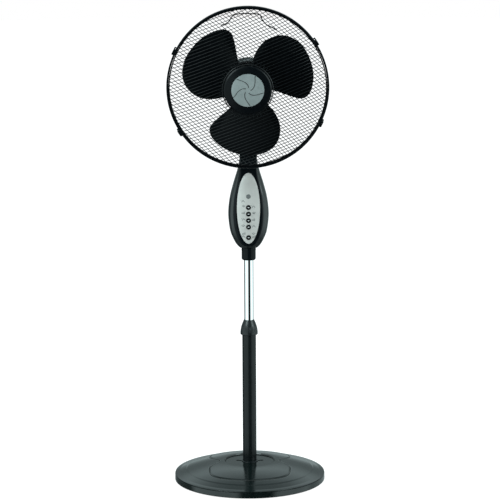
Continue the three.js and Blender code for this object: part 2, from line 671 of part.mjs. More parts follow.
function bladeSheet(turn) {
  const radii = [22, 58, 92, 124, 148, 164, 174, 180, BLADE_TIP];
  const columns = 7;
  const thickness = 2.4;
  const side = (radius, offset) => {
    const row = [];
    for (let i = 0; i <= columns; i += 1) {
      const angle = THREE.MathUtils.lerp(leadingEdge(radius), trailingEdge(radius) + 0.02, i / columns);
      const direction = degrees(angle + turn);
      const along = bladeLift(radius, angle) + offset;
      row.push(new THREE.Vector3(radius * Math.cos(direction), along, radius * Math.sin(direction)));
    }
    return row;
  };
  return loft(radii.map((radius) => [
    ...side(radius, -thickness / 2), ...side(radius, thickness / 2).reverse(),
  ]));
}

function fanBlade() {
  const hub = turned([[0, -23], [26, -23], [30, -18], [30, 33], [0, 33]], 'y', MEDIUM);
  const blades = [];
  for (let i = 0; i < BLADE_COUNT; i += 1) {
    blades.push(bladeSheet(30 + (360 * i) / BLADE_COUNT));
  }
  const bore = disc(SHAFT_RADIUS + GAP, -40, 40, 'y', 12);
  const backPocket = tube(12, 27, -14, 40, 'y', MEDIUM);
  return cut(join(hub, ...blades), bore, backPocket).translate(0, ROTOR_Y, 0);
}

const spinnerNut = () => turned([
  [SHAFT_RADIUS + GAP, -137.3], [17, -137.3], [17, -140], [11, -151], [0, -154], [0, -146],
  [SHAFT_RADIUS + GAP, -146], [SHAFT_RADIUS + GAP, -137.3],
], 'y', MEDIUM);

// ---------------------------------------------------------------- wire cage
// One wire from the hub plate out to the rim, following a smooth dish.
function wire(hubRadius, hubY, rimY, bulge) {
  const steps = 4;
  const points = [];
  for (let i = 0; i <= steps; i += 1) {
    const t = i / steps;
    const radius = THREE.MathUtils.lerp(hubRadius, RIM_WIRE_RADIUS, t);
    points.push(new THREE.Vector3(radius, THREE.MathUtils.lerp(hubY, rimY, t ** bulge), 0));
  }
  const half = WIRE_THICKNESS / 2;
  const section = new THREE.Shape();
  section.moveTo(half, half).lineTo(-half, half).lineTo(-half, -half).lineTo(half, -half);
  const path = new THREE.CatmullRomCurve3(points);
  return new THREE.ExtrudeGeometry(section, { steps, bevelEnabled: false, extrudePath: path });
}

function rimWire(y) {
  const half = 1.6;
  return tube(RIM_WIRE_RADIUS - half, RIM_WIRE_RADIUS + half, y - half, y + half, 'y', WIDE);
}

function wireCage(plate, hubRadius, hubY, rimY, bulge) {
  const pieces = [plate, rimWire(rimY)];
  for (let i = 0; i < WIRE_COUNT; i += 1) {
    pieces.push(wire(hubRadius, hubY, rimY, bulge).rotateY((2 * Math.PI * i) / WIRE_COUNT));
  }
  return join(...pieces);
}

const FRONT_DISH = 2.3;
const BACK_DISH = 1.9;
const frontGrille = () => wireCage(disc(58, -171, -168, 'y', LARGE), 50, -169.5, -118.8, FRONT_DISH);
const rearGrille = () => wireCage(tube(20.4, 58, -47.3, -44.3, 'y', LARGE), 50, -45.8, -111.2, BACK_DISH);

const rearGrilleNut = () => turned([
  [20.4, -47.6], [30, -47.6], [31, -49], [28, -56], [20.4, -57], [20.4, -47.6],
], 'y', LARGE);

// The channel that holds both rims, with a pair of hinge lugs beside every clip.
const HINGE_RADIUS = 219;
const HINGE_Y = -104.2;
const CLIP_HALF_LENGTH = 8;

function aroundRim(geometry, angle) {
  return geometry.rotateY(-degrees(angle));
}

function grilleRing() {
  const bandInside = RING_RADIUS - 4.4;
  const channel = turned([
    [RIM_LIP_RADIUS, RING_FRONT_Y], [RING_RADIUS, RING_FRONT_Y], [RING_RADIUS, RING_BACK_Y],
    [RIM_LIP_RADIUS, RING_BACK_Y], [RIM_LIP_RADIUS, RING_BACK_Y - 2], [bandInside, RING_BACK_Y - 2],
    [bandInside, RING_FRONT_Y + 2], [RIM_LIP_RADIUS, RING_FRONT_Y + 2], [RIM_LIP_RADIUS, RING_FRONT_Y],
  ], 'y', WIDE);
  const inner = CLIP_HALF_LENGTH + GAP;
  const outer = inner + 3;
  const lugs = CLIP_ANGLES.flatMap((angle) => [[-outer, -inner], [inner, outer]].map(([z0, z1]) => {
    const lug = cut(
      block(211.8, 220.6, -107.6, HINGE_Y + 1.8, z0, z1),
      disc(1.35, z0 - 1, z1 + 1, 'z', 8).translate(HINGE_RADIUS, HINGE_Y, 0),
    );
    return aroundRim(lug, angle);
  }));
  return join(channel, ...lugs);
}

// A snap lever over the ring: barrel and pins at the back, hook at the front.
function grilleClip() {
  const half = CLIP_HALF_LENGTH;
  const lever = block(217, 220.6, -128, HINGE_Y, -half, half);
  const hook = block(209.5, 220.6, -128, -125.4, -half, half);
  const barrel = disc(1.8, -half, half, 'z', 8).translate(HINGE_RADIUS, HINGE_Y, 0);
  const pins = disc(1, -half - 3, half + 3, 'z', 8).translate(HINGE_RADIUS, HINGE_Y, 0);
  return join(lever, hook, barrel, pins);
}

function badgePlate() {
  return turned([
    [0, -171.8], [BADGE_RADIUS, -171.8], [BADGE_RADIUS, -174.2], [60, -176.6],
    [INLAY_RADIUS + 2, -179.4], [INLAY_RADIUS + 0.4, -179.4], [INLAY_RADIUS + 0.4, -178.4], [0, -178.4],
  ], 'y', WIDE);
}

const badgeInlay = () => turned([
  [0, -178.7], [INLAY_RADIUS, -178.7], [INLAY_RADIUS, -179.6], [28, -180.3], [0, -180.6],
], 'y', WIDE);

// ---------------------------------------------------------------- materials
function finish(color, roughness, metalness) {
  return new THREE.MeshStandardMaterial({ color, roughness, metalness });
}
const glossBlack = () => finish(0x0b0d0e, 0.15, 0);
const satinBlack = () => finish(0x15181a, 0.45, 0);
const blackPaint = () => finish(0x101214, 0.35, 0.3);
const bladeBlack = () => finish(0x0d0f10, 0.3, 0);
const chrome = () => finish(0xe6e8ea, 0.05, 1);
const silver = () => finish(0xc4cac8, 0.35, 0.6);
const steel = () => finish(0x9a9ea0, 0.35, 1);
const iron = () => finish(0x3d3f40, 0.8, 0.7);
const aluminium = () => finish(0xa9adb0, 0.5, 1);
const copper = () => finish(0xb4682f, 0.4, 1);
const rubber = () => finish(0x17181a, 0.9, 0);
const boardGreen = () => finish(0x1f5a36, 0.5, 0);
const whitePlastic = () => finish(0xe9e8e2, 0.4, 0);
const smokedLens = () => finish(0x4a4e50, 0.2, 0);

// ---------------------------------------------------------------- assembly
const fan = new THREE.Group();
const stand = new THREE.Group();
const controlBox = new THREE.Group();
const head = new THREE.Group();
head.position.set(0, 0, HEAD_Z);
fan.add(stand, controlBox, head);

function place(group, name, geometry, material, position = [0, 0, 0], rotation = [0, 0, 0]) {
  const mesh = new THREE.Mesh(clean(geometry), material);
  mesh.name = name;
  mesh.position.set(...position);
  mesh.rotation.set(...rotation);
  group.add(mesh);
}

// base and pole
place(stand, 'base_cover', baseCover(), satinBlack());
place(stand, 'base_pan', basePan(), blackPaint());
place(stand, 'base_ballast', baseBallast(), iron());
for (let i = 0; i < FOOT_COUNT; i += 1) {
  const angle = Math.PI / 4 + (2 * Math.PI * i) / FOOT_COUNT;
  const spot = [FOOT_CIRCLE * Math.cos(angle), FOOT_CIRCLE * Math.sin(angle), 0];
  place(stand, `foot_pad_${i + 1}`, footPad(), rubber(), spot);
}
place(stand, 'pole_flange', poleFlange(), steel());
place(stand, 'base_bolt', baseBolt(), steel());
place(stand, 'outer_pole', outerPole(), blackPaint());
place(stand, 'pole_sleeve', poleSleeve(), satinBlack());
place(stand, 'clamp_collet', clampCollet(), whitePlastic());
place(stand, 'height_lock_nut', lockNut(), satinBlack());

// sliding column and control box
place(controlBox, 'inner_pole', innerPole(), chrome());
place(controlBox, 'inner_pole_stop', innerPoleStop(), satinBlack());
place(controlBox, 'column_socket', columnSocket(), glossBlack());
place(controlBox, 'socket_screw', socketScrew(), steel(), [0, 0, 640]);
place(controlBox, 'box_rear_shell', boxRearShell(), glossBlack());
place(controlBox, 'box_front_bezel', boxFrontBezel(), glossBlack());
SHELL_SCREWS.forEach((screw, i) => {
  place(controlBox, `shell_screw_${i + 1}`, shellScrew(screw), steel(), [screw.x, 0, screw.z]);
});
place(controlBox, 'control_panel', controlPanel(), silver());
place(controlBox, 'circuit_board', circuitBoard(), boardGreen());
place(controlBox, 'receiver_window', receiverWindow(), smokedLens(), [0, 0, RECEIVER_Z]);
place(controlBox, 'motor_capacitor', motorCapacitor(), whitePlastic());
place(controlBox, 'cord_inlet', cordInlet(), rubber(), [0, 0, 676]);
for (const [use, z] of Object.entries(BUTTON_HEIGHTS)) {
  place(controlBox, `${use}_button`, pushButton(z), glossBlack(), [0, 0, z]);
}

// tilt joint and swing mechanism
place(controlBox, 'neck_yoke', neckYoke(), satinBlack());
place(controlBox, 'tilt_bracket', tiltBracket(), blackPaint());
place(controlBox, 'tilt_knob', tiltKnob(), satinBlack());
place(controlBox, 'tilt_nut', tiltNut(), steel());
place(controlBox, 'swing_crank', swingCrank(), steel());
place(controlBox, 'swing_link', swingLink(), steel());
place(controlBox, 'swing_motor', swingMotor(), steel());

// motor
place(head, 'motor_mount', motorMount(), aluminium());
place(head, 'motor_stator', motorStator(), steel());
place(head, 'motor_winding', motorWinding(), copper());
place(head, 'motor_rear_bell', motorRearBell(), aluminium());
place(head, 'front_bearing', frontBearing(), steel());
place(head, 'rear_bearing', rearBearing(), steel());
place(head, 'rear_motor_cover', rearMotorCover(), satinBlack());
place(head, 'cover_screw', coverScrew(), steel());
place(head, 'motor_shaft', motorShaft(), steel());
place(head, 'rotor_core', rotorCore(), iron());
place(head, 'fan_blade', fanBlade(), bladeBlack());
place(head, 'spinner_nut', spinnerNut(), satinBlack());

// cage
place(head, 'rear_grille', rearGrille(), blackPaint());
place(head, 'rear_grille_nut', rearGrilleNut(), satinBlack());
place(head, 'front_grille', frontGrille(), blackPaint());
place(head, 'grille_ring', grilleRing(), satinBlack());
CLIP_ANGLES.forEach((angle, i) => {
  place(head, `grille_clip_${i + 1}`, grilleClip(), satinBlack(), [0, 0, 0], [0, -degrees(angle), 0]);
});
place(head, 'badge_plate', badgePlate(), satinBlack());
place(head, 'badge_inlay', badgeInlay(), silver());

export default fan;
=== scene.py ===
"""The looks of a black pedestal fan: finely shaped pieces that stand for the nodes of the CAD part."""

import math

import bmesh
import bpy
import numpy as np
from mathutils import Matrix, Vector


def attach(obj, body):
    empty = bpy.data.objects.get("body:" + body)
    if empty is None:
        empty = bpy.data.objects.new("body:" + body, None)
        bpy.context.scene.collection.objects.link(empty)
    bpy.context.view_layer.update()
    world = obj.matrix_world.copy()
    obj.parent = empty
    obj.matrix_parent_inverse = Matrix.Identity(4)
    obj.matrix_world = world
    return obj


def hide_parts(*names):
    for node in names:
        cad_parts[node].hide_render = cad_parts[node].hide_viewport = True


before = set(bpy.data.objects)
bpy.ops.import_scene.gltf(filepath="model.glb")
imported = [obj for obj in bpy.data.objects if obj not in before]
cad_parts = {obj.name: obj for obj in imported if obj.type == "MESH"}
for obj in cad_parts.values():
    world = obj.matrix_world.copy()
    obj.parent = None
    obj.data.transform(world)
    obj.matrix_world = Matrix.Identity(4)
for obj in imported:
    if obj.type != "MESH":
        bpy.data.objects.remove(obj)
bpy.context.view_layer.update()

# ---------------------------------------------------------------- sizes, in millimetres
MM = 0.001
BASE_RADIUS = 207.5
DOME_EDGE = 200.5
DOME_LOW = 22.6
DOME_HIGH = 52.5
RECESS_RADIUS = 68
RECESS_FLOOR = DOME_HIGH - 2.4
STEP_RADIUS = 177
STEP_HEIGHT = 0.7
WAIST_HALF_WIDTH = 82
LOBE_HALF_WIDTH = 111
LOBE_RADIUS = 151
LOBE_CORNER = 9
EMBOSS_HEIGHT = 1.0
GROOVE_OFFSET = 1.4
FOOT_CIRCLE = 172

POLE_RADIUS = 19
INNER_POLE_RADIUS = 13
POLE_TOP = 418
NUT_BOTTOM = 411.2

BOX_BOTTOM = 654
SOCKET_BOTTOM = 620
NECK_TOP = 985
SHELL_ROUNDNESS = 2.3
BEZEL_ROUNDNESS = 10
BEZEL_SEAT_Y = -14
PANEL_Z = 768
PANEL_HALF_WIDTH = 31.2
PANEL_HALF_HEIGHT = 97
BUTTON_HEIGHTS = {"power": 688, "swing": 717, "mode": 735, "speed": 753, "timer": 771}
RECEIVER_Z = 801

TILT_Z = 1012
CRANK = (7, 58)
LINK_STUD = (20, 34)
CRANK_THROW = 13

HEAD_Z = 1106
BLADE_TIP = 183
ROTOR_Y = -113
RING_RADIUS = 216
RIM_WIRE_RADIUS = 208.6
HUB_WIRE_RADIUS = 50
DISH_ROUNDNESS = 0.35
HUB_STAYS = 46
WIRE_PITCH = 8.3
WIRE_RADIUS = 0.88
FRONT_LEAN = 21
REAR_LEAN = -43
CLIP_ANGLES = (33.5, 153.5, 213.5, 333.5)
HINGE_RADIUS = 219
HINGE_Y = -104.2

FLOOR_GLOW = 0.96
STUDIO_TINT = (0.82, 1.0, 1.01)

TURNS = 128  # facets round a full turn
ARC_STEPS = 5  # points on a rounded corner


# ---------------------------------------------------------------- small maths
def clamp(value, low, high):
    return max(low, min(high, value))


def smoothstep(value):
    t = clamp(value, 0.0, 1.0)
    return t * t * (3 - 2 * t)


def lerp(a, b, t):
    return a + (b - a) * t


def smooth_through(stations):
    """A smooth function through a few (place, value) stations."""
    def slope(i):
        low = stations[max(i - 1, 0)]
        high = stations[min(i + 1, len(stations) - 1)]
        return (high[1] - low[1]) / (high[0] - low[0])

    def value(place):
        i = 0
        while i < len(stations) - 2 and place > stations[i + 1][0]:
            i += 1
        span = stations[i + 1][0] - stations[i][0]
        t = clamp((place - stations[i][0]) / span, 0.0, 1.0)
        rise = stations[i + 1][1] - stations[i][1]
        bend = (slope(i) * span - rise) * (1 - t) + (rise - slope(i + 1) * span) * t
        return stations[i][1] + t * rise + t * (1 - t) * bend

    return value


# ---------------------------------------------------------------- solids as (vertices, faces)
def rounded(corners, closed):
    """The outline through (a, b, radius) corners, each one turned into a small arc."""
    outline = []
    for i, corner in enumerate(corners):
        here = Vector(corner[:2])
        radius = corner[2] if len(corner) > 2 else 0.0
        if radius == 0 or (not closed and i in (0, len(corners) - 1)):
            outline.append(here)
            continue
        before = Vector(corners[i - 1][:2]) - here
        after = Vector(corners[(i + 1) % len(corners)][:2]) - here
        reach = radius / math.tan(before.angle(after) / 2)
        reach = min(reach, 0.49 * before.length, 0.49 * after.length)
        start = here + before.normalized() * reach
        end = here + after.normalized() * reach
        for step in range(ARC_STEPS + 1):
            t = step / ARC_STEPS
            outline.append(start * (1 - t) ** 2 + here * (2 * t * (1 - t)) + end * t ** 2)
    return outline


def lathe(corners, axis="z", centre=(0, 0, 0), turns=TURNS):
    """A profile of (radius, height, rounding) corners turned about an axis."""
    closed = corners[0][0] > 0
    outline = rounded(corners, closed)
    vertices, rings = [], []
    for radius, height in outline:
        count = turns if radius > 1e-6 else 1
        rings.append((len(vertices), count))
        for k in range(count):
            angle = 2 * math.pi * k / turns
            a, b = radius * math.cos(angle), radius * math.sin(angle)
            point = {"z": (a, b, height), "y": (a, height, b), "x": (height, a, b)}[axis]
            vertices.append(tuple(p + c for p, c in zip(point, centre)))
    faces = []
    pairs = list(zip(rings, rings[1:])) + ([(rings[-1], rings[0])] if closed else [])
    for (low, low_count), (high, high_count) in pairs:
        for k in range(turns):
            after = (k + 1) % turns
            if low_count > 1 and high_count > 1:
                faces.append((low + k, low + after, high + after, high + k))
            elif low_count > 1:
                faces.append((low + k, low + after, high))
            elif high_count > 1:
                faces.append((low, high + after, high + k))
    return vertices, faces


def loft(rings, closed=True):
    """Rings of equal point counts skinned into one solid with flat ends."""
    count = len(rings[0])
    vertices = [tuple(point) for ring in rings for point in ring]
    faces = []
    for level in range(len(rings) - 1):
        low, high = level * count, (level + 1) * count
        for i in range(count):
            after = (i + 1) % count
            faces.append((low + i, low + after, high + after, high + i))
    if closed:
        faces.append(tuple(range(count))[::-1])
        faces.append(tuple((len(rings) - 1) * count + i for i in range(count)))
    return vertices, faces


def combine(*solids):
    vertices, faces = [], []
    for more, their_faces in solids:
        start = len(vertices)
        vertices.extend(more)
        faces.extend(tuple(start + i for i in face) for face in their_faces)
    return vertices, faces


def moved(solid, offset):
    return [tuple(p + o for p, o in zip(v, offset)) for v in solid[0]], solid[1]


def turned_about(solid, axis, degrees, centre=(0, 0, 0)):
    turn = Matrix.Rotation(math.radians(degrees), 3, axis)
    middle = Vector(centre)
    return [tuple(turn @ (Vector(v) - middle) + middle) for v in solid[0]], solid[1]


def in_head(solid):
    """From the motor axis, where the head is drawn, to the floor's frame."""
    return moved(solid, (0, 0, HEAD_Z))


def inset(outline, amount):
    """A closed outline of 2-D points moved inwards along its own normals."""
    points = np.array([tuple(p) for p in outline], float)
    along = np.roll(points, -1, 0) - np.roll(points, 1, 0)
    along /= np.maximum(np.linalg.norm(along, axis=1), 1e-9)[:, None]
    inward = np.stack([-along[:, 1], along[:, 0]], 1)
    return points + inward * amount


def slab(outline, low, high, edge=0.6, axis="z", at=(0, 0, 0)):
    """An anticlockwise outline raised from low to high, with rounded rims."""
    levels = []
    for step in range(ARC_STEPS + 1):
        turn = math.pi / 2 * step / ARC_STEPS
        levels.append((edge * (1 - math.sin(turn)), edge * (1 - math.cos(turn))))
    sections = [(inset(outline, i), low + h) for i, h in levels]
    sections += [(inset(outline, i), high - h) for i, h in reversed(levels)]
    rings = []
    for points, height in sections:
        if axis == "z":
            rings.append([(x, y, height) for x, y in points])
        elif axis == "y":
            rings.append([(x, height, y) for x, y in points])
        else:
            rings.append([(height, x, y) for x, y in points])
    return moved(loft(rings), at)


def rounded_rectangle(x0, x1, y0, y1, radius):
    return rounded([(x0, y0, radius), (x1, y0, radius), (x1, y1, radius), (x0, y1, radius)], True)


def stadium(start, end, start_radius, end_radius, steps=14):
    heading = math.atan2(end[1] - start[1], end[0] - start[0])
    points = []
    for centre, radius, middle in ((start, start_radius, heading + math.pi), (end, end_radius, heading)):
        for k in range(steps + 1):
            angle = middle - math.pi / 2 + math.pi * k / steps
            points.append((centre[0] + radius * math.cos(angle), centre[1] + radius * math.sin(angle)))
    return points


def circle(radius, count=64):
    return [(radius * math.cos(2 * math.pi * k / count), radius * math.sin(2 * math.pi * k / count))
            for k in range(count)]


def rounded_box(x0, x1, y0, y1, z0, z1, edge=1.0):
    return slab(rounded_rectangle(x0, x1, y0, y1, edge * 1.5), z0, z1, edge)


def sweep(path, radius, sides=8, closed=False, up=(0, 1, 0)):
    """A round wire along a path of points."""
    points = np.array(path, float)
    ahead = np.roll(points, -1, 0) - np.roll(points, 1, 0)
    if not closed:
        ahead[0] = points[1] - points[0]
        ahead[-1] = points[-1] - points[-2]
    ahead /= np.linalg.norm(ahead, axis=1)[:, None]
    side = np.cross(ahead, np.array(up, float))
    side /= np.linalg.norm(side, axis=1)[:, None]
    top = np.cross(side, ahead)
    rings = []
    for p, s, t in zip(points, side, top):
        rings.append([tuple(p + radius * (math.cos(a) * s + math.sin(a) * t))
                      for a in (2 * math.pi * k / sides for k in range(sides))])
    if closed:
        rings.append(rings[0])
    return loft(rings, closed=not closed)


def hoop(radius, y, thickness, sides=10, turns=TURNS):
    """A wire ring about the motor axis."""
    section = [(radius + thickness * math.cos(2 * math.pi * k / sides),
                y + thickness * math.sin(2 * math.pi * k / sides)) for k in range(sides)]
    return lathe(section, "y", turns=turns)


# ---------------------------------------------------------------- pieces
def build(name, parts, body, stands_for=(), sharp=32.0):
    """One piece from (solid, material) parts, riding on a CAD body."""
    shape = bmesh.new()
    looks = []
    for solid, look in parts:
        if look not in looks:
            looks.append(look)
        corners = [shape.verts.new(Vector(v) * MM) for v in solid[0]]
        for face in solid[1]:
            if len(set(face)) > 2:
                shape.faces.new([corners[i] for i in face]).material_index = looks.index(look)
    bmesh.ops.remove_doubles(shape, verts=shape.verts, dist=1e-7)
    bmesh.ops.recalc_face_normals(shape, faces=shape.faces)
    mesh = bpy.data.meshes.new(name)
    shape.to_mesh(mesh)
    shape.free()
    for look in looks:
        mesh.materials.append(look)
    smooth(mesh, sharp)
    piece = bpy.data.objects.new(name, mesh)
    bpy.context.scene.collection.objects.link(piece)
    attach(piece, body)
    if stands_for:
        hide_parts(*stands_for)
    return piece


def smooth(mesh, sharp):
    mesh.polygons.foreach_set("use_smooth", [True] * len(mesh.polygons))
    mesh.set_sharp_from_angle(angle=math.radians(sharp))


def carve(piece, solid, sharp=32.0):
    """Cuts a solid out of a finished piece."""
    tool_mesh = bpy.data.meshes.new("tool")
    shape = bmesh.new()
    corners = [shape.verts.new(Vector(v) * MM) for v in solid[0]]
    for face in solid[1]:
        shape.faces.new([corners[i] for i in face])
    bmesh.ops.recalc_face_normals(shape, faces=shape.faces)
    shape.to_mesh(tool_mesh)
    shape.free()
    tool = bpy.data.objects.new("tool", tool_mesh)
    bpy.context.scene.collection.objects.link(tool)
    step = piece.modifiers.new("cut", "BOOLEAN")
    step.object = tool
    step.operation = "DIFFERENCE"
    step.solver = "EXACT"
    step.use_self = True
    bpy.context.view_layer.update()
    graph = bpy.context.evaluated_depsgraph_get()
    cut_mesh = bpy.data.meshes.new_from_object(piece.evaluated_get(graph))
    piece.modifiers.clear()
    piece.data = cut_mesh
    smooth(cut_mesh, sharp)
    bpy.data.objects.remove(tool)
    return piece


# ---------------------------------------------------------------- materials
def surface(name, dark, light, roughness, metallic=0.0, patch=35.0, grain=1200.0, bump=0.15, worn=None, specular=0.5,
            stretch=(1, 1, 1)):
    """A finish with cloudy colour, uneven gloss, a fine grain and lighter edges."""
    look = bpy.data.materials.new(name)
    look.use_nodes = True
    tree = look.node_tree
    tree.nodes.clear()

    def add(kind, inputs=None, **settings):
        node = tree.nodes.new(kind)
        for key, value in settings.items():
            setattr(node, key, value)
        for key, value in (inputs or {}).items():
            node.inputs[key].default_value = value
        return node

    def link(source, target):
        tree.links.new(source, target)

    place = add("ShaderNodeTexCoord")
    mapping = add("ShaderNodeMapping", {"Scale": stretch})
    link(place.outputs["Object"], mapping.inputs["Vector"])

    cloud = add("ShaderNodeTexNoise", {"Scale": patch, "Detail": 5.0, "Roughness": 0.6})
    link(mapping.outputs["Vector"], cloud.inputs["Vector"])
    tint = add("ShaderNodeValToRGB")
    tint.color_ramp.elements[0].position = 0.32
    tint.color_ramp.elements[0].color = (*dark, 1)
    tint.color_ramp.elements[1].position = 0.68
    tint.color_ramp.elements[1].color = (*light, 1)
    link(cloud.outputs["Fac"], tint.inputs["Fac"])

    form = add("ShaderNodeNewGeometry")
    edge = add("ShaderNodeMapRange", {"From Min": 0.53, "From Max": 0.66, "To Min": 0.0, "To Max": 0.6})
    link(form.outputs["Pointiness"], edge.inputs["Value"])
    wear = add("ShaderNodeMix", data_type="RGBA")
    worn_colour = worn or tuple(min(1.0, 1.6 * c + 0.004) for c in light)
    wear.inputs[7].default_value = (*worn_colour, 1)
    link(edge.outputs["Result"], wear.inputs[0])
    link(tint.outputs["Color"], wear.inputs[6])

    smudge = add("ShaderNodeTexNoise", {"Scale": patch * 2.3, "Detail": 4.0})
    link(mapping.outputs["Vector"], smudge.inputs["Vector"])
    gloss = add("ShaderNodeMapRange", {"From Min": 0.3, "From Max": 0.7,
                                       "To Min": roughness[0], "To Max": roughness[1]})
    link(smudge.outputs["Fac"], gloss.inputs["Value"])

    fine = add("ShaderNodeTexNoise", {"Scale": grain, "Detail": 2.0})
    link(mapping.outputs["Vector"], fine.inputs["Vector"])
    relief = add("ShaderNodeBump", {"Strength": bump, "Distance": 0.0002})
    link(fine.outputs["Fac"], relief.inputs["Height"])

    shader = add("ShaderNodeBsdfPrincipled", {"Metallic": metallic, "Specular IOR Level": specular})
    link(wear.outputs[2], shader.inputs["Base Color"])
    link(gloss.outputs["Result"], shader.inputs["Roughness"])
    link(relief.outputs["Normal"], shader.inputs["Normal"])
    out = add("ShaderNodeOutputMaterial")
    link(shader.outputs["BSDF"], out.inputs["Surface"])
    return look


BASE_BLACK = surface("base_black", (0.002, 0.004, 0.004), (0.004, 0.007, 0.007), (0.10, 0.15), bump=0.02)
ENAMEL = surface("black_enamel", (0.006, 0.008, 0.009), (0.010, 0.013, 0.014), (0.22, 0.30), bump=0.03,
                 specular=0.36)
POLE_BLACK = surface("pole_black", (0.004, 0.006, 0.006), (0.006, 0.008, 0.009), (0.20, 0.26), bump=0.02,
                     specular=0.22)
SATIN = surface("satin_black", (0.003, 0.005, 0.006), (0.005, 0.008, 0.009), (0.36, 0.44), bump=0.08,
                specular=0.22)
GLOSS = surface("gloss_black", (0.009, 0.012, 0.012), (0.011, 0.014, 0.015), (0.09, 0.13), bump=0.01)
BEZEL_BLACK = surface("bezel_black", (0.002, 0.003, 0.004), (0.003, 0.005, 0.006), (0.12, 0.18), bump=0.01,
                      specular=0.11)
RING_BLACK = surface("ring_black", (0.001, 0.0018, 0.0025), (0.002, 0.003, 0.004), (0.25, 0.32), bump=0.04,
                     specular=0.12)
WIRE_BLACK = surface("wire_black", (0.001, 0.0018, 0.0025), (0.002, 0.003, 0.004), (0.3, 0.4), bump=0.03,
                     specular=0.3)
BLADE = surface("blade_black", (0.0006, 0.0012, 0.0016), (0.0012, 0.002, 0.0026), (0.34, 0.42), bump=0.04,
                specular=0.05)
CHROME = surface("chrome", (0.88, 0.88, 0.88), (0.94, 0.94, 0.94), (0.03, 0.05), 1.0, bump=0.005,
                 worn=(0.95, 0.95, 0.95))
SILVER = surface("silver_panel", (0.47, 0.47, 0.452), (0.53, 0.527, 0.508), (0.36, 0.44), 0.3, bump=0.08,
                 worn=(0.6, 0.6, 0.58))
BADGE_SILVER = surface("badge_silver", (0.215, 0.25, 0.25), (0.255, 0.293, 0.293), (0.32, 0.40), 0.3, bump=0.06,
                       worn=(0.32, 0.34, 0.34))
STEEL = surface("steel", (0.42, 0.43, 0.44), (0.52, 0.53, 0.54), (0.28, 0.40), 1.0, bump=0.1)
IRON = surface("iron", (0.05, 0.05, 0.052), (0.09, 0.09, 0.092), (0.6, 0.8), 0.7, bump=0.5, grain=500)
ALUMINIUM = surface("aluminium", (0.42, 0.43, 0.44), (0.5, 0.51, 0.52), (0.42, 0.55), 1.0, bump=0.4, grain=700)
COPPER = surface("copper", (0.42, 0.16, 0.06), (0.55, 0.22, 0.09), (0.3, 0.4), 1.0, bump=0.5, grain=900)
RUBBER = surface("rubber", (0.012, 0.012, 0.013), (0.02, 0.02, 0.021), (0.7, 0.85), bump=0.3)
BOARD = surface("board", (0.008, 0.07, 0.03), (0.012, 0.1, 0.045), (0.35, 0.5), bump=0.2)
WHITE = surface("white_plastic", (0.72, 0.71, 0.67), (0.8, 0.79, 0.76), (0.35, 0.45), bump=0.08)
LENS = surface("lens", (0.09, 0.1, 0.1), (0.14, 0.15, 0.15), (0.4, 0.5), bump=0.05, specular=0.2)
MARK_DARK = surface("mark_ink", (0.07, 0.08, 0.08), (0.11, 0.12, 0.12), (0.4, 0.5), bump=0.05)
MARK_LIGHT = surface("mark_pale", (0.35, 0.37, 0.37), (0.48, 0.5, 0.5), (0.35, 0.45), bump=0.05)
# Painted shade: near-black for the lines laid in the base's grooves, standing for their shadow; the badge swirls use
# it as their own dark print.
BADGE_SWIRL_AND_PAINTED_GROOVE_SHADE = surface("badge_swirl_and_painted_groove_shade", (0.002, 0.002, 0.002), (0.004, 0.004, 0.004), (0.6, 0.7), bump=0.05)

HIDDEN_NODE_LOOKS = {
    "base_ballast": IRON, "pole_flange": STEEL, "pole_sleeve": SATIN, "clamp_collet": WHITE,
    "inner_pole_stop": SATIN, "circuit_board": BOARD, "motor_capacitor": WHITE, "motor_stator": STEEL,
    "motor_winding": COPPER, "motor_rear_bell": ALUMINIUM, "front_bearing": STEEL, "rear_bearing": STEEL,
    "rotor_core": IRON,
}
for node, look in HIDDEN_NODE_LOOKS.items():
    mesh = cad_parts[node].data
    mesh.materials.clear()
    mesh.materials.append(look)


# ---------------------------------------------------------------- base
def dome_height(radius):
    t = (radius - RECESS_RADIUS) / (DOME_EDGE - RECESS_RADIUS)
    step = STEP_HEIGHT * (smoothstep((STEP_RADIUS - radius) / 4) - 1)
    return DOME_HIGH - (DOME_HIGH - DOME_LOW) * max(t, 0) ** 1.6 + step * smoothstep((DOME_EDGE - radius) / 6)


def edge_distance(x, y):
    """How far inside the hourglass panel a place on the dome lies."""
    half_width = lerp(WAIST_HALF_WIDTH, LOBE_HALF_WIDTH, smoothstep(abs(y) / 55))
    sideways, outwards = half_width - abs(x), LOBE_RADIUS - math.hypot(x, y)
    corner = math.exp(-abs(sideways - outwards) / LOBE_CORNER)
    return min(sideways, outwards) - LOBE_CORNER * math.log(1 + corner)


def emboss(x, y):
    """Height of the raised hourglass panel on the dome, with a fine groove round it."""
    inside = edge_distance(x, y)
    groove = math.exp(-((inside + GROOVE_OFFSET) / 1.5) ** 2)
    return EMBOSS_HEIGHT * (smoothstep(inside / 2.4) - groove)


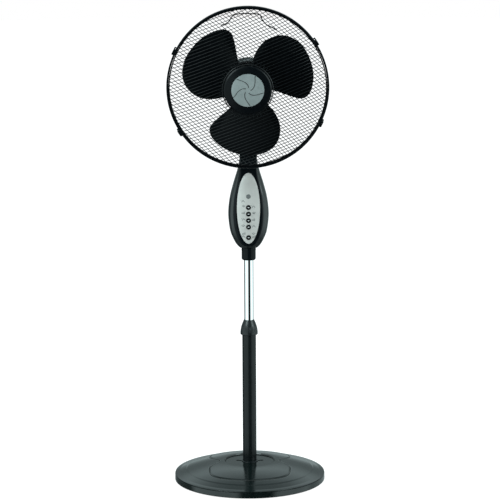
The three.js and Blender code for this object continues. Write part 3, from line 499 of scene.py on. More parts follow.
def base_cover():
    around = 420
    inner_radii = np.linspace(19.3, 66, 12)
    dome_radii = np.linspace(69.5, DOME_EDGE, 96)
    floor = RECESS_FLOOR + 0.3
    profile = [(r, floor + 0.5 * smoothstep((40 - r) / 20), False) for r in inner_radii]
    profile += [(67.2, floor + 0.1, False), (68.1, floor + 1.0, False), (68.9, floor + 1.8, False)]
    profile += [(r, dome_height(r), True) for r in dome_radii]
    edge = BASE_RADIUS
    rim = rounded([(edge - 4, DOME_LOW - 0.6), (edge - 0.9, DOME_LOW - 1.7, 0.5), (edge - 0.7, DOME_LOW - 2.9, 0.3),
                   (edge - 2.2, DOME_LOW - 3.6, 0.2), (edge - 0.2, DOME_LOW - 4.3, 0.3), (edge, 3, 0.8),
                   (edge - 3, 3)], False)
    profile += [(p[0], p[1], False) for p in rim]
    profile += [(edge - 3, 16.6, False), (edge - 9, 19.4, False), (160, 32, False), (120, 42, False),
                (66, RECESS_FLOOR - 3, False), (19.3, RECESS_FLOOR - 2.6, False)]
    rings = []
    for radius, height, shaped in profile:
        ring = []
        for k in range(around):
            angle = 2 * math.pi * k / around
            x, y = radius * math.cos(angle), radius * math.sin(angle)
            ring.append((x, y, height + (emboss(x, y) if shaped else 0.0)))
        rings.append(ring)
    rings.append(rings[0])
    cover = build("base_cover_fine", [(loft(rings, closed=False), BASE_BLACK)], "base",
                  ["base_cover"], sharp=28)
    pockets = []
    for side in (-1, 1):
        start, end = (side * 24, 1), (side * 33, 6)
        outline = stadium(start, end, 3.2, 4.6)
        pockets.append(slab(outline, RECESS_FLOOR - 1.8, 70, 0.3))
    return carve(cover, combine(*pockets), sharp=28)


def base_groove_shade_lines():
    """Painted shade: near-black lines laid in the groove round the hourglass panel and at the foot of the recess wall,
    standing for the shadow in these grooves.
    """
    path = []
    for k in range(360):
        direction = (math.cos(math.radians(k)), math.sin(math.radians(k)))
        near, far = RECESS_RADIUS, DOME_EDGE
        while far - near > 0.01:
            middle = (near + far) / 2
            if edge_distance(direction[0] * middle, direction[1] * middle) > -GROOVE_OFFSET:
                near = middle
            else:
                far = middle
        x, y = direction[0] * near, direction[1] * near
        path.append((x, y, dome_height(near) + emboss(x, y) + 0.2))
    # Painted shade: a near-black tube in the groove round the panel, and a near-black ring where the recess wall meets
    # its floor.
    hourglass = sweep(path, 0.8, 8, closed=True, up=(0, 0, 1))
    foot = [(67.3 + 0.7 * math.cos(math.radians(a)), RECESS_FLOOR + 0.9 + 0.7 * math.sin(math.radians(a)))
            for a in range(0, 360, 45)]
    build("base_groove_shade_lines", [(hourglass, BADGE_SWIRL_AND_PAINTED_GROOVE_SHADE), (lathe(foot, turns=240), BADGE_SWIRL_AND_PAINTED_GROOVE_SHADE)], "base")


def base_underside():
    edge = BASE_RADIUS - 3.4
    pan = lathe([(5.2, 2.9), (5.2, 5), (edge, 5, 0.5), (edge, 2.9, 0.5), (150, 2.9, 2), (147, 4.1, 2),
                 (120, 4.1, 2), (117, 2.9, 2), (70, 2.9, 2), (67, 4.1, 2), (50, 4.1, 2), (47, 2.9, 2)])
    build("base_pan_fine", [(pan, ENAMEL)], "base", ["base_pan"])
    bolt = combine(
        lathe([(0, 0.7), (7.2, 0.7, 0.6), (9, 1.5, 0.5), (9, 2.6, 0.2), (0, 2.6)]),
        slab([(6 * math.cos(math.radians(60 * k)), 6 * math.sin(math.radians(60 * k))) for k in range(6)],
             0.5, 1.6, 0.3),
    )
    build("base_bolt_fine", [(bolt, STEEL)], "base", ["base_bolt"])
    for k in range(4):
        angle = math.radians(45 + 90 * k)
        spot = (FOOT_CIRCLE * math.cos(angle), FOOT_CIRCLE * math.sin(angle), 0)
        foot = lathe([(0, 0.5), (3, 0.5, 0.3), (4, 0, 0.3), (10, 0, 0.8), (11, 1.0, 0.5), (11, 2.5, 0.2), (0, 2.5)],
                     centre=spot, turns=48)
        build(f"foot_pad_fine_{k + 1}", [(foot, RUBBER)], "base", [f"foot_pad_{k + 1}"])


# ---------------------------------------------------------------- telescopic pole
def poles():
    outer = lathe([(17.5, 8.6), (POLE_RADIUS, 8.6, 0.2), (POLE_RADIUS, POLE_TOP, 0.4), (17.5, POLE_TOP, 0.4)])
    foot = RECESS_FLOOR + 0.9
    collar = lathe([(19.4, foot), (23.2, foot, 0.8), (22.4, foot + 1.8, 0.8), (19.4, foot + 2.4)])
    build("outer_pole_fine", [(outer, POLE_BLACK)], "base", ["outer_pole"])
    build("pole_foot_ring", [(collar, SATIN)], "base")
    inner = lathe([(11.6, 292), (INNER_POLE_RADIUS, 292, 0.3), (INNER_POLE_RADIUS, 700, 0.4), (11.6, 700, 0.3)])
    build("inner_pole_fine", [(inner, CHROME)], "column", ["inner_pole"])


def lock_nut():
    skirt = smooth_through([(NUT_BOTTOM, 23.7), (418, 23.9), (425, 23.1), (432, 21.7), (439, 19.6), (446, 16.9),
                            (452, 14.2)])
    rings = []
    ribs = 28
    around = ribs * 10
    levels = [(NUT_BOTTOM, -1.0), (NUT_BOTTOM + 0.4, -0.35), (NUT_BOTTOM + 1.1, 0)]
    levels += [(z, 0) for z in np.linspace(NUT_BOTTOM + 2, 451.5, 32)] + [(452.6, -0.6)]
    for z, shrink in levels:
        depth = 0.45 * smoothstep((z - 417.5) / 2) * smoothstep((436 - z) / 3)
        ring = []
        for k in range(around):
            angle = 2 * math.pi * k / around
            wave = max(0.0, math.cos(ribs * angle)) ** 2
            radius = skirt(z) + shrink - depth * wave
            ring.append((radius * math.cos(angle), radius * math.sin(angle), z))
        rings.append(ring)
    for radius, z in ((13.35, 452.6), (13.35, 449.6), (15, 449.4), (16.9, 438), (16.9, 422), (19.4, 422), (19.4, NUT_BOTTOM)):
        rings.append([(radius * math.cos(2 * math.pi * k / around), radius * math.sin(2 * math.pi * k / around), z)
                      for k in range(around)])
    rings.append(rings[0])
    build("height_lock_nut_fine", [(loft(rings, closed=False), ENAMEL)], "lock_collar",
          ["height_lock_nut"])


def cross_recess(size, depth, front, axis_sign):
    """A cross-shaped driver recess, as a cutting tool that looks along Y."""
    arms = []
    for width, height in ((size, size * 0.28), (size * 0.28, size)):
        outline = rounded_rectangle(-width / 2, width / 2, -height / 2, height / 2, size * 0.06)
        near, far = front + axis_sign * 2, front - axis_sign * depth
        arms.append(slab(outline, min(near, far), max(near, far), size * 0.04, "y"))
    return arms


def screw(name, head_radius, seat, top, spot, node, body):
    """A pan-head screw whose head faces +Y."""
    shaft = lathe([(0, seat - 6), (1.5, seat - 6, 0.3), (1.5, seat + 0.2), (0, seat + 0.2)], "y", spot, 32)
    head = lathe([(0, seat), (head_radius, seat, 0.2), (head_radius, seat + 0.6, 0.5),
                  (head_radius * 0.7, top, 0.8), (0, top)], "y", spot, 64)
    piece = build(name, [(head, STEEL), (shaft, STEEL)], body, [node])
    for arm in cross_recess(head_radius * 1.15, 1.3, top, 1):
        carve(piece, moved(arm, spot))
    return piece


def column_socket():
    socket = lathe([(13.3, SOCKET_BOTTOM), (17.4, SOCKET_BOTTOM, 0.8), (19.4, SOCKET_BOTTOM + 3.4, 1.2),
                    (19.4, BOX_BOTTOM - 0.2, 0.3), (13.3, BOX_BOTTOM - 0.2)])
    ring = lathe([(19.2, 646), (19.9, 646.6, 0.3), (19.9, 649.4, 0.3), (19.2, 650)])
    build("column_socket_fine", [(socket, BEZEL_BLACK), (ring, BEZEL_BLACK)], "column", ["column_socket"])
    screw("socket_screw_fine", 4.2, 19.5, 22.3, (0, 0, 640), "socket_screw", "column")


# ---------------------------------------------------------------- control box
box_half_width = smooth_through([(BOX_BOTTOM, 24.5), (664, 33.5), (680, 42.3), (698, 49.3), (723, 53.6),
                                 (750, 55.3), (780, 52.9), (805, 48.4), (838, 39.4), (870, 29.6), (892, 24.8),
                                 (912, 23.3), (NECK_TOP, 23.3)])
box_front_depth = smooth_through([(BOX_BOTTOM, 18), (690, 28), (760, 32), (850, 26), (900, 20), (NECK_TOP, 20)])
box_back_depth = smooth_through([(BOX_BOTTOM, 20), (690, 30), (760, 35), (850, 27), (900, 22), (NECK_TOP, 21)])
bezel_half_width = smooth_through([(664, 15), (676, 24.5), (690, 31.5), (718, 39), (753, 41.4), (797, 38.2),
                                   (826, 32.4), (858, 26.2), (877, 24), (905, 23.7), (NECK_TOP, 23.7)])
bezel_front_y = smooth_through([(664, -38.9), (671, -39.5), (720, -41.3), (768, -42), (816, -41.4),
                                (865, -39.2), (890, -32), (915, -25.5), (NECK_TOP, -24)])


def superellipse(value, roundness):
    return math.copysign(abs(value) ** (2 / roundness), value)


def rear_shell():
    around = 120
    heights = [BOX_BOTTOM, BOX_BOTTOM + 0.3, BOX_BOTTOM + 1.0] + list(np.linspace(BOX_BOTTOM + 2.2, NECK_TOP, 84))
    rings = []
    for z in heights:
        shrink = 1.4 * (1 - smoothstep((z - BOX_BOTTOM) / 2.2)) ** 2
        ring = []
        for k in range(around):
            angle = 2 * math.pi * k / around
            across = superellipse(math.cos(angle), SHELL_ROUNDNESS) * (box_half_width(z) - shrink)
            depth = box_back_depth(z) if math.sin(angle) > 0 else box_front_depth(z)
            along = superellipse(math.sin(angle), SHELL_ROUNDNESS) * (depth - shrink)
            ring.append((across, along, z))
        rings.append(ring)
    shell = build("box_rear_shell_fine", [(loft(rings), GLOSS)], "column", ["box_rear_shell"],
                  sharp=40)
    vents = []
    for row in range(6):
        z = 748 + 7 * row
        vents.append(slab(rounded_rectangle(-16, 16, z - 1.3, z + 1.3, 1.25), 28, 45, 0.1, "y"))
    return carve(shell, combine(*vents), sharp=40)


def front_bezel():
    across_steps = 72
    heights = [664, 664.6, 665.6, 667.2] + list(np.linspace(669.5, NECK_TOP, 100))
    rings = []
    for z in heights:
        shrink = 3.0 * (1 - smoothstep((z - 663) / 6.5)) ** 2
        depth = BEZEL_SEAT_Y - bezel_front_y(z) - shrink
        ring = []
        for i in range(across_steps + 1):
            angle = math.pi + math.pi * i / across_steps
            across = superellipse(math.cos(angle), BEZEL_ROUNDNESS) * (bezel_half_width(z) - shrink)
            edge = i in (0, across_steps)
            along = 0 if edge else superellipse(math.sin(angle), BEZEL_ROUNDNESS) * depth
            ring.append((across, BEZEL_SEAT_Y + along, z))
        rings.append(ring)
    bezel = build("box_front_bezel_fine", [(loft(rings), BEZEL_BLACK)], "column", ["box_front_bezel"],
                  sharp=40)
    return carve(bezel, face_plate(0.35, -6, 1.6), sharp=40)


def face_plate(growth, front_offset, back_offset, edge=0.0):
    """An oval plate that follows the crown of the bezel, between two offsets from its front."""
    half_height = PANEL_HALF_HEIGHT + growth
    rings = []
    for step in range(61):
        angle = math.pi * step / 60
        z = PANEL_Z - half_height * math.cos(angle)
        half = (PANEL_HALF_WIDTH + growth) * max(math.sin(angle), 0.02)
        front, back = bezel_front_y(z) + front_offset, bezel_front_y(z) + back_offset
        soft = min(edge, half * 0.4)
        rings.append([(-half, back, z), (-half, front + soft, z), (-half + soft * 0.4, front + soft * 0.3, z),
                      (-half + soft, front, z), (half - soft, front, z), (half - soft * 0.4, front + soft * 0.3, z),
                      (half, front + soft, z), (half, back, z)])
    return loft(rings)


# Little signs beside the buttons, each a few strokes between (across, up) points.
SIGN_STROKES = (
    (((-3.2, -1.6), (-0.4, 1.8)), ((0.6, 1.8), (3.2, -1.6)), ((-4.6, 2.4), (-4.2, 2.4))),
    (((-2.6, -1.8), (-2.6, 0.4)), ((0, -1.8), (0, 1.6)), ((2.6, -1.8), (2.6, 2.6))),
    (((-3.2, 1.4), (0, -1.0)), ((0, -1.0), (3.2, 1.4)), ((-1, 2.6), (1, 2.6))),
)
SIGN_SIZE = 1.2


def panel_sign(across, height, kind):
    strokes = []
    for start, end in SIGN_STROKES[kind % len(SIGN_STROKES)]:
        low = (across + SIGN_SIZE * start[0], height + SIGN_SIZE * start[1])
        high = (across + SIGN_SIZE * end[0], height + SIGN_SIZE * end[1])
        front = bezel_front_y(height) - 0.5
        strokes.append(slab(stadium(low, high, 0.75, 0.75, 8), front, front + 0.6, 0.1, "y"))
    return strokes


def control_panel():
    build("control_panel_fine", [(face_plate(0, -0.3, 1.4, 0.5), SILVER)], "column",
          ["control_panel"], sharp=30)
    wells = []
    for z in BUTTON_HEIGHTS.values():
        front = bezel_front_y(z)
        wells.append(lathe([(5.7, front - 0.9, 0.2), (6.7, front - 0.9, 0.4), (7.0, front + 0.5), (5.7, front + 0.5)],
                           "y", (0, 0, z), 64))
    front = bezel_front_y(RECEIVER_Z)
    rim = lathe([(5.2, front - 0.7, 0.2), (6.2, front - 0.7, 0.3), (6.4, front + 0.5), (5.2, front + 0.5)],
                "y", (0, 0, RECEIVER_Z), 64)
    build("button_wells", [(combine(*wells), BEZEL_BLACK), (rim, LENS)], "column")
    marks = []
    heights = [BUTTON_HEIGHTS["power"] + 11, *(z + 3 for z in BUTTON_HEIGHTS.values()), RECEIVER_Z - 13]
    for i, z in enumerate(sorted(heights)):
        marks += panel_sign(-14.5 + 1.5 * (i % 2), z, i)
        if i < len(heights) - 1:
            marks += panel_sign(14.5 - (i % 2), z - 1, i + 1)
    build("panel_marks", [(combine(*marks), MARK_DARK)], "column")


def button(use, z):
    front = bezel_front_y(z) - 2.3
    cap = lathe([(0, front + 0.35), (3.0, front + 0.3, 1.5), (4.6, front, 0.8), (5.6, front + 0.9, 0.6),
                 (5.6, front + 7), (0, front + 7)], "y", (0, 0, z), 64)
    mark = slab(stadium((-1.4, z), (1.4, z), 0.95, 0.95, 10), front + 0.1, front + 0.6, 0.1, "y")
    build(f"{use}_button_fine", [(cap, RING_BLACK), (mark, MARK_LIGHT)], f"{use}_key",
          [f"{use}_button"])


def receiver():
    front = bezel_front_y(RECEIVER_Z)
    dome = lathe([(0, front - 1.3), (3, front - 1.2, 2), (5.1, front - 0.7, 0.4), (5.1, front + 1.5),
                  (0, front + 1.5)], "y", (0, 0, RECEIVER_Z), 64)
    build("receiver_window_fine", [(dome, LENS)], "column", ["receiver_window"])


def box_fittings():
    for i, z in enumerate((716, 836)):
        y = box_back_depth(z) - 1.4
        screw(f"shell_screw_fine_{i + 1}", 3.8, y, y + 2.2, (0, 0, z), f"shell_screw_{i + 1}", "column")
    ribs = [lathe([(2.6, 24), (4.3, 24), (4.3, 30), (6.5, 30, 0.5), (6.5, 31, 0.4), (5.4, 33, 0.5), (2.6, 33, 0.4)],
                  "y", (0, 0, 676), 64)]
    build("cord_inlet_fine", [(combine(*ribs), RUBBER)], "column", ["cord_inlet"])


# ---------------------------------------------------------------- tilt joint
def tilt_plate(radius, reach, x0, x1, edge=0.6):
    """A plate across X, round about the tilt axis and straight towards its foot."""
    down = reach < 0
    arc = [(radius * math.cos(a), radius * math.sin(a)) for a in
           (math.pi * k / 20 + (0 if down else math.pi) for k in range(21))]
    foot = [(-radius, reach), (radius, reach)] if down else [(radius, reach), (-radius, reach)]
    return slab([Vector(p) for p in arc + foot], x0, x1, edge, "x", (0, 0, TILT_Z))


def tilt_joint():
    yoke = combine(
        slab(rounded_rectangle(-21, 21, -19, 19, 8), NECK_TOP + 0.3, 999, 1.2),
        tilt_plate(11, 990 - TILT_Z, -20, -14.1),
        tilt_plate(11, 990 - TILT_Z, 14.1, 20),
    )
    build("neck_yoke_fine", [(yoke, SATIN)], "column", ["neck_yoke"])
    bracket = combine(
        tilt_plate(10.5, 1027 - TILT_Z, -13.7, 13.7),
        slab(circle(13), 1025, 1029, 0.6),
        slab(stadium((0, 0), LINK_STUD, 11, 6), 1025, 1029, 0.6),
        lathe([(0, 1020), (6, 1020), (6, 1053, 0.8), (0, 1053)], turns=48),
        lathe([(0, 1027), (3.4, 1027), (3.4, 1032, 0.5), (0, 1032)], centre=(*LINK_STUD, 0), turns=32),
    )
    build("tilt_bracket_fine", [(bracket, ENAMEL)], "tilter", ["tilt_bracket"])
    nut = slab([(8 * math.cos(math.radians(60 * k)), 8 * math.sin(math.radians(60 * k))) for k in range(6)],
               -25.4, -20.4, 0.7, "x", (0, 0, TILT_Z))
    build("tilt_nut_fine", [(nut, STEEL)], "column", ["tilt_nut"])


def tilt_knob():
    lobes, around = 6, 120
    rings = []
    for x, size in ((20.5, 0.86), (21.0, 0.95), (22.0, 1.0), (26.5, 1.0), (31.0, 1.0), (32.6, 0.96), (33.6, 0.88),
                    (34.1, 0.7), (34.2, 0.4)):
        grip = smoothstep((x - 22) / 2)
        ring = []
        for k in range(around):
            angle = 2 * math.pi * k / around
            hollow = max(0.0, math.cos(lobes * angle)) ** 3
            radius = 12.6 * size - 2.0 * grip * size * hollow
            ring.append((x, radius * math.cos(angle), TILT_Z + radius * math.sin(angle)))
        rings.append(ring)
    bolt = lathe([(0, -26.4), (4, -26.4, 0.8), (4, 22), (0, 22)], "x", (0, 0, TILT_Z), 40)
    build("tilt_knob_fine", [(loft(rings), SATIN), (bolt, STEEL)], "tilt_grip", ["tilt_knob"],
          sharp=40)


# ---------------------------------------------------------------- oscillating mechanism
def swing_parts():
    pin_spot = (CRANK[0] + CRANK_THROW, CRANK[1])
    crank = combine(
        lathe([(0, 1036.5), (16.5, 1036.5, 0.5), (16.5, 1040.5, 0.5), (0, 1040.5)], centre=(*CRANK, 0), turns=64),
        lathe([(0, 1040), (3, 1040), (3, 1052.6, 0.4), (0, 1052.6)], centre=(*CRANK, 0), turns=32),
        lathe([(0, 1032.5), (3, 1032.5, 0.4), (3, 1037), (0, 1037)], centre=(*pin_spot, 0), turns=32),
    )
    build("swing_crank_fine", [(crank, STEEL)], "crank", ["swing_crank"])
    link = build("swing_link_fine", [(slab(stadium(LINK_STUD, pin_spot, 5, 5), 1032.5, 1035.5, 0.4), STEEL)],
                 "link", ["swing_link"])
    carve(link, slab(circle(3.4, 32), 1030, 1038, 0.1, at=(*pin_spot, 0)))
    motor = combine(
        lathe([(3.6, 1053), (18, 1053, 1), (18, 1066, 1), (3.6, 1066)], centre=(*CRANK, 0), turns=64),
        lathe([(0, 1058), (3.7, 1058), (3.7, 1066), (0, 1066)], centre=(*CRANK, 0), turns=32),
    )
    build("swing_motor_fine", [(motor, STEEL)], "head", ["swing_motor"])


# ---------------------------------------------------------------- motor and its cover
def from_floor(z):
    return z - HEAD_Z


def motor_mount():
    mount = combine(
        lathe([(9.5, -44), (50, -44, 1.5), (50, -38, 1), (9.5, -38)], "y"),
        lathe([(9.5, -60, 0.5), (20, -60, 1.2), (20, -41), (9.5, -41)], "y"),
        rounded_box(-9, 9, -42, -33, from_floor(1034), from_floor(1076)),
        rounded_box(-9, 9, -34, 0, from_floor(1034), from_floor(1056)),
        lathe([(6.4, from_floor(1031.5)), (11, from_floor(1031.5), 0.5), (11, from_floor(1056), 0.5),
               (6.4, from_floor(1056))], turns=48),
    )
    build("motor_mount_fine", [(in_head(mount), ALUMINIUM)], "head", ["motor_mount"])


def motor_cover():
    wall = 2.5
    outside = [(62, -36, 0.8), (62, 62, 20), (54, 92, 24), (24, 104, 14), (2.4, 104)]
    inside = [(2.4, 101.5), (23.6, 101.5, 14), (52, 90, 22), (62 - wall, 61, 20), (62 - wall, -36, 0.5)]
    shell = lathe(outside + inside, "y")
    skirt_low, skirt_high = from_floor(1036), -50
    outline = rounded_rectangle(-30, 30, -24, 82, 12)
    inner = inset(outline, wall)
    rings = [[(x, y, skirt_high) for x, y in outline], [(x, y, skirt_low + 0.6) for x, y in outline],
             [(x, y, skirt_low) for x, y in inset(outline, 0.5)], [(x, y, skirt_low) for x, y in inset(outline, 2.0)],
             [(x, y, skirt_low + 0.6) for x, y in inner], [(x, y, skirt_high) for x, y in inner]]
    rings.append(rings[0])
    skirt = loft(rings, closed=False)
    seam = lathe([(61.6, 20.2), (62.5, 20.6, 0.2), (62.5, 22.4, 0.2), (61.6, 22.8)], "y")
    cover = build("rear_motor_cover_fine", [(in_head(shell), SATIN), (in_head(skirt), SATIN), (in_head(seam), SATIN)],
                  "head", ["rear_motor_cover"], sharp=35)
    return cover


def motor_vents(cover):
    """Long slots over the back of the cover and short ones round its waist."""
    slots = []
    for k in range(30):
        turn = 360 * k / 30
        back = slab(stadium((30, 0), (47, 0), 1.5, 1.5, 6), 88, 120, 0.1, "y")
        slots.append(turned_about(back, "Y", turn))
    for k in range(36):
        turn = 360 * k / 36
        if 55 < (turn + 360) % 360 < 125:
            continue
        waist = slab(stadium((30, 0), (56, 0), 1.6, 1.6, 6), 56, 70, 0.1, "z")
        waist = ([(z, x, y) for x, y, z in waist[0]], waist[1])
        slots.append(turned_about(waist, "Y", turn))
    carve(cover, in_head(combine(*slots)), sharp=35)


def motor_bits():
    screw("cover_screw_fine", 4.5, 104.1, 106.9, (0, 0, HEAD_Z), "cover_screw", "head")
    shaft = lathe([(0, -144), (4, -144, 0.8), (4, 46, 0.6), (0, 46)], "y", turns=40)
    build("motor_shaft_fine", [(in_head(shaft), STEEL)], "rotor", ["motor_shaft"])


# ---------------------------------------------------------------- rotor
trailing_edge = smooth_through([(20, 46), (62, 50), (84, 49), (108, 45.5), (131, 40.5), (152, 33.5), (168, 26),
                                (179, 16), (BLADE_TIP, 5)])
leading_edge = smooth_through([(20, -34), (62, -39), (84, -41), (108, -43), (138, -43.8), (154, -42),
                               (166, -36.5), (173, -28), (179.5, -14), (BLADE_TIP, 5)])


def blade_lift(radius, angle):
    along = radius * math.radians(angle)
    pitch = math.tan(math.radians(lerp(30, 9, radius / BLADE_TIP)))
    camber = 5 * (1 - (angle / 45) ** 2)
    return clamp(-along * pitch, -22, 22) - camber + 4


def blade(turn):
    """One twisted, cambered blade with a thin rounded edge all round."""
    columns = 34
    half_thickness = 1.3
    rings = []
    for step in range(53):
        radius = lerp(22, BLADE_TIP, math.sin(math.pi / 2 * step / 52) ** 0.9) if step else 22
        start, end = leading_edge(radius), trailing_edge(radius) + 0.02
        end_fade = math.sqrt(max(1 - smoothstep((radius - BLADE_TIP + 4) / 4) ** 2, 0.02))
        front, back = [], []
        for i in range(columns + 1):
            u = (1 - math.cos(math.pi * i / columns)) / 2
            angle = lerp(start, end, u)
            direction = math.radians(angle + turn)
            x, z = radius * math.cos(direction), radius * math.sin(direction)
            lift = blade_lift(radius, angle)
            thick = half_thickness * max(1 - abs(2 * u - 1) ** 12, 0.03) ** 0.5 * end_fade
            front.append((x, lift - thick, z))
            back.append((x, lift + thick, z))
        rings.append(front + back[::-1])
    return loft(rings)


def rotor():
    hub = lathe([(4.3, -22), (24.5, -22, 3), (30, -17, 3), (30, 33, 1), (27, 33, 0.4), (27, -14, 1), (12, -14, 1),
                 (12, 30, 0.5), (4.3, 30)], "y", (0, ROTOR_Y, 0))
    ribs = []
    for k in range(6):
        rib = slab(rounded_rectangle(11.5, 27.5, ROTOR_Y - 15, ROTOR_Y + 20, 0.5), -0.9, 0.9, 0.2)
        ribs.append(turned_about(rib, "Y", 60 * k))
    blades = [moved(blade(30 + 120 * k), (0, ROTOR_Y, 0)) for k in range(3)]
    parts = [(in_head(s), BLADE) for s in (hub, *ribs, *blades)]
    build("fan_blade_fine", parts, "rotor", ["fan_blade"], sharp=40)

    around, lobes = 96, 12
    rings = []
    for y, size in ((-137.3, 16.2), (-137.8, 17), (-140, 16.8), (-144, 15.2), (-149, 12.4), (-152, 9.5), (-153.6, 5),
                    (-154, 1.5)):
        ring = []
        for k in range(around):
            angle = 2 * math.pi * k / around
            flute = 0.8 * max(0.0, math.cos(lobes * angle)) ** 2 * smoothstep((-y - 137.8) / 2) * min(1, size / 12)
            ring.append(((size - flute) * math.cos(angle), y, (size - flute) * math.sin(angle)))
        rings.append(ring)
    build("spinner_nut_fine", [(in_head(loft(rings)), SATIN)], "rotor", ["spinner_nut"], sharp=40)


# ---------------------------------------------------------------- wire cage
def dish(radius, hub_y, rim_y, bulge):
    t = clamp((radius - HUB_WIRE_RADIUS) / (RIM_WIRE_RADIUS - HUB_WIRE_RADIUS), 0.0, 1.0)
    round_side = 1 - math.sqrt(1 - t * t)
    return hub_y + (rim_y - hub_y) * lerp(t ** bulge, round_side, DISH_ROUNDNESS)


def leaning_wires(lean, inner, hub_y, rim_y, bulge):
    """Parallel wires bent over the dish, from rim to rim or from the hub plate to the rim."""
    along = (math.cos(math.radians(lean)), math.sin(math.radians(lean)))
    count = int(RIM_WIRE_RADIUS / WIRE_PITCH)
    wires = []
    for k in range(-count, count):
        offset = (k + 0.5) * WIRE_PITCH
        half = math.sqrt(RIM_WIRE_RADIUS ** 2 - offset ** 2)
        spans = [(-half, half)]
        if abs(offset) < inner:
            gap = math.sqrt(inner ** 2 - offset ** 2)
            spans = [(-half, -gap), (gap, half)]
        for start, end in spans:
            steps = max(4, int((end - start) / 9))
            path = []
            for i in range(steps + 1):
                s = lerp(start, end, (1 - math.cos(math.pi * i / steps)) / 2)
                x, z = along[0] * s - along[1] * offset, along[1] * s + along[0] * offset
                path.append((x, dish(math.hypot(x, z), hub_y, rim_y, bulge), z))
            wires.append(sweep(path, WIRE_RADIUS, 7))
    return wires


def bent_wire():
    """The wavy wire that lies on the rear grille near its top."""
    height = smooth_through([(-70, 162), (-51, 170), (-40, 187), (-23, 193), (14, 193), (33, 190), (39, 177),
                             (50, 163), (64, 156), (78, 147)])
    path = []
    for x in np.linspace(-70, 78, 60):
        z = height(x)
        path.append((x, dish(math.hypot(x, z), -45.8, -111.2, 1.9) + 2.2, z))
    return sweep(path, 1.5, 8)


def grilles():
    front = leaning_wires(FRONT_LEAN, 60, -169.5, -118.8, 2.3)
    front.append(hoop(66.5, dish(66.5, -169.5, -118.8, 2.3) - 1.6, 1.5))
    front.append(hoop(RIM_WIRE_RADIUS, -118.8, 1.6, turns=200))
    for k in range(HUB_STAYS):
        stay = [(r, dish(r, -169.5, -118.8, 2.3) - 1.2, 0) for r in (62, 67, 72, 77)]
        front.append(turned_about(sweep(stay, 0.7, 6), "Y", 360 * k / HUB_STAYS))
    front.append(lathe([(0, -170.6), (61, -170.6, 0.4), (61, -168.2, 0.4), (0, -168.2)], "y"))
    build("front_grille_fine", [(in_head(combine(*front)), WIRE_BLACK)], "head", ["front_grille"])

    rear = leaning_wires(REAR_LEAN, 56, -45.8, -111.2, 1.9)
    rear.append(hoop(RIM_WIRE_RADIUS, -111.2, 1.6, turns=200))
    rear.append(hoop(60, dish(60, -45.8, -111.2, 1.9) + 1.9, 1.6))
    rear.append(lathe([(20.4, -47.3, 0.3), (58, -47.3, 0.5), (58, -44.3, 0.5), (20.4, -44.3, 0.3)], "y"))
    rear.append(bent_wire())
    build("rear_grille_fine", [(in_head(combine(*rear)), WIRE_BLACK)], "head", ["rear_grille"])


def rear_nut():
    around, lobes = 192, 16
    rings = []
    for y, size in ((-47.6, 29.6), (-48.0, 30.6), (-49, 31), (-52, 30), (-55.2, 28.6), (-56.4, 27.8), (-57, 26.6)):
        ring = []
        for k in range(around):
            angle = 2 * math.pi * k / around
            radius = size - 1.2 * max(0.0, math.cos(lobes * angle)) ** 2
            ring.append((radius * math.cos(angle), y, radius * math.sin(angle)))
        rings.append(ring)
    for radius, y in ((20.4, -57), (20.4, -47.6)):
        rings.append([(radius * math.cos(2 * math.pi * k / around), y, radius * math.sin(2 * math.pi * k / around))
                      for k in range(around)])
    rings.append(rings[0])
    build("rear_grille_nut_fine", [(in_head(loft(rings, closed=False)), SATIN)], "head",
          ["rear_grille_nut"], sharp=40)


def ring_and_clips():
    channel = lathe([(210.6, -123.6, 0.5), (214.6, -124, 1.2), (216, -121.6, 1.4), (216, -108.4, 1.4),
                     (214.6, -106, 1.2), (210.6, -106.4, 0.5), (210.6, -108, 0.4), (212.2, -108.6, 0.4),
                     (212.2, -121.4, 0.4), (210.6, -122, 0.4)], "y", turns=240)
    lugs = []
    for angle in CLIP_ANGLES:
        for side in (-1, 1):
            z0 = side * 9.8
            lug = slab(rounded_rectangle(211.8, 220.6, -107.8, HINGE_Y + 1.8, 1.2), z0 - 1.5, z0 + 1.5, 0.3)
            lugs.append(turned_about(lug, "Y", -angle))
    build("grille_ring_fine", [(in_head(combine(channel, *lugs)), RING_BLACK)], "head", ["grille_ring"],
          sharp=40)
    for i, angle in enumerate(CLIP_ANGLES):
        lever = slab(rounded_rectangle(217.2, 220.6, -128, HINGE_Y - 0.6, 1.2), -8, 8, 0.8)
        hook = slab(rounded_rectangle(209.8, 220.2, -128, -125.4, 1.0), -8, 8, 0.8)
        barrel = lathe([(0, -8), (1.8, -8, 0.3), (1.8, 8, 0.3), (0, 8)], centre=(HINGE_RADIUS, HINGE_Y, 0), turns=24)
        pins = lathe([(0, -11), (1.0, -11, 0.2), (1.0, 11, 0.2), (0, 11)], centre=(HINGE_RADIUS, HINGE_Y, 0), turns=20)
        clip = turned_about(combine(lever, hook, barrel, pins), "Y", -angle)
        build(f"grille_clip_fine_{i + 1}", [(in_head(clip), RING_BLACK)], f"clip_{i + 1}",
              [f"grille_clip_{i + 1}"])


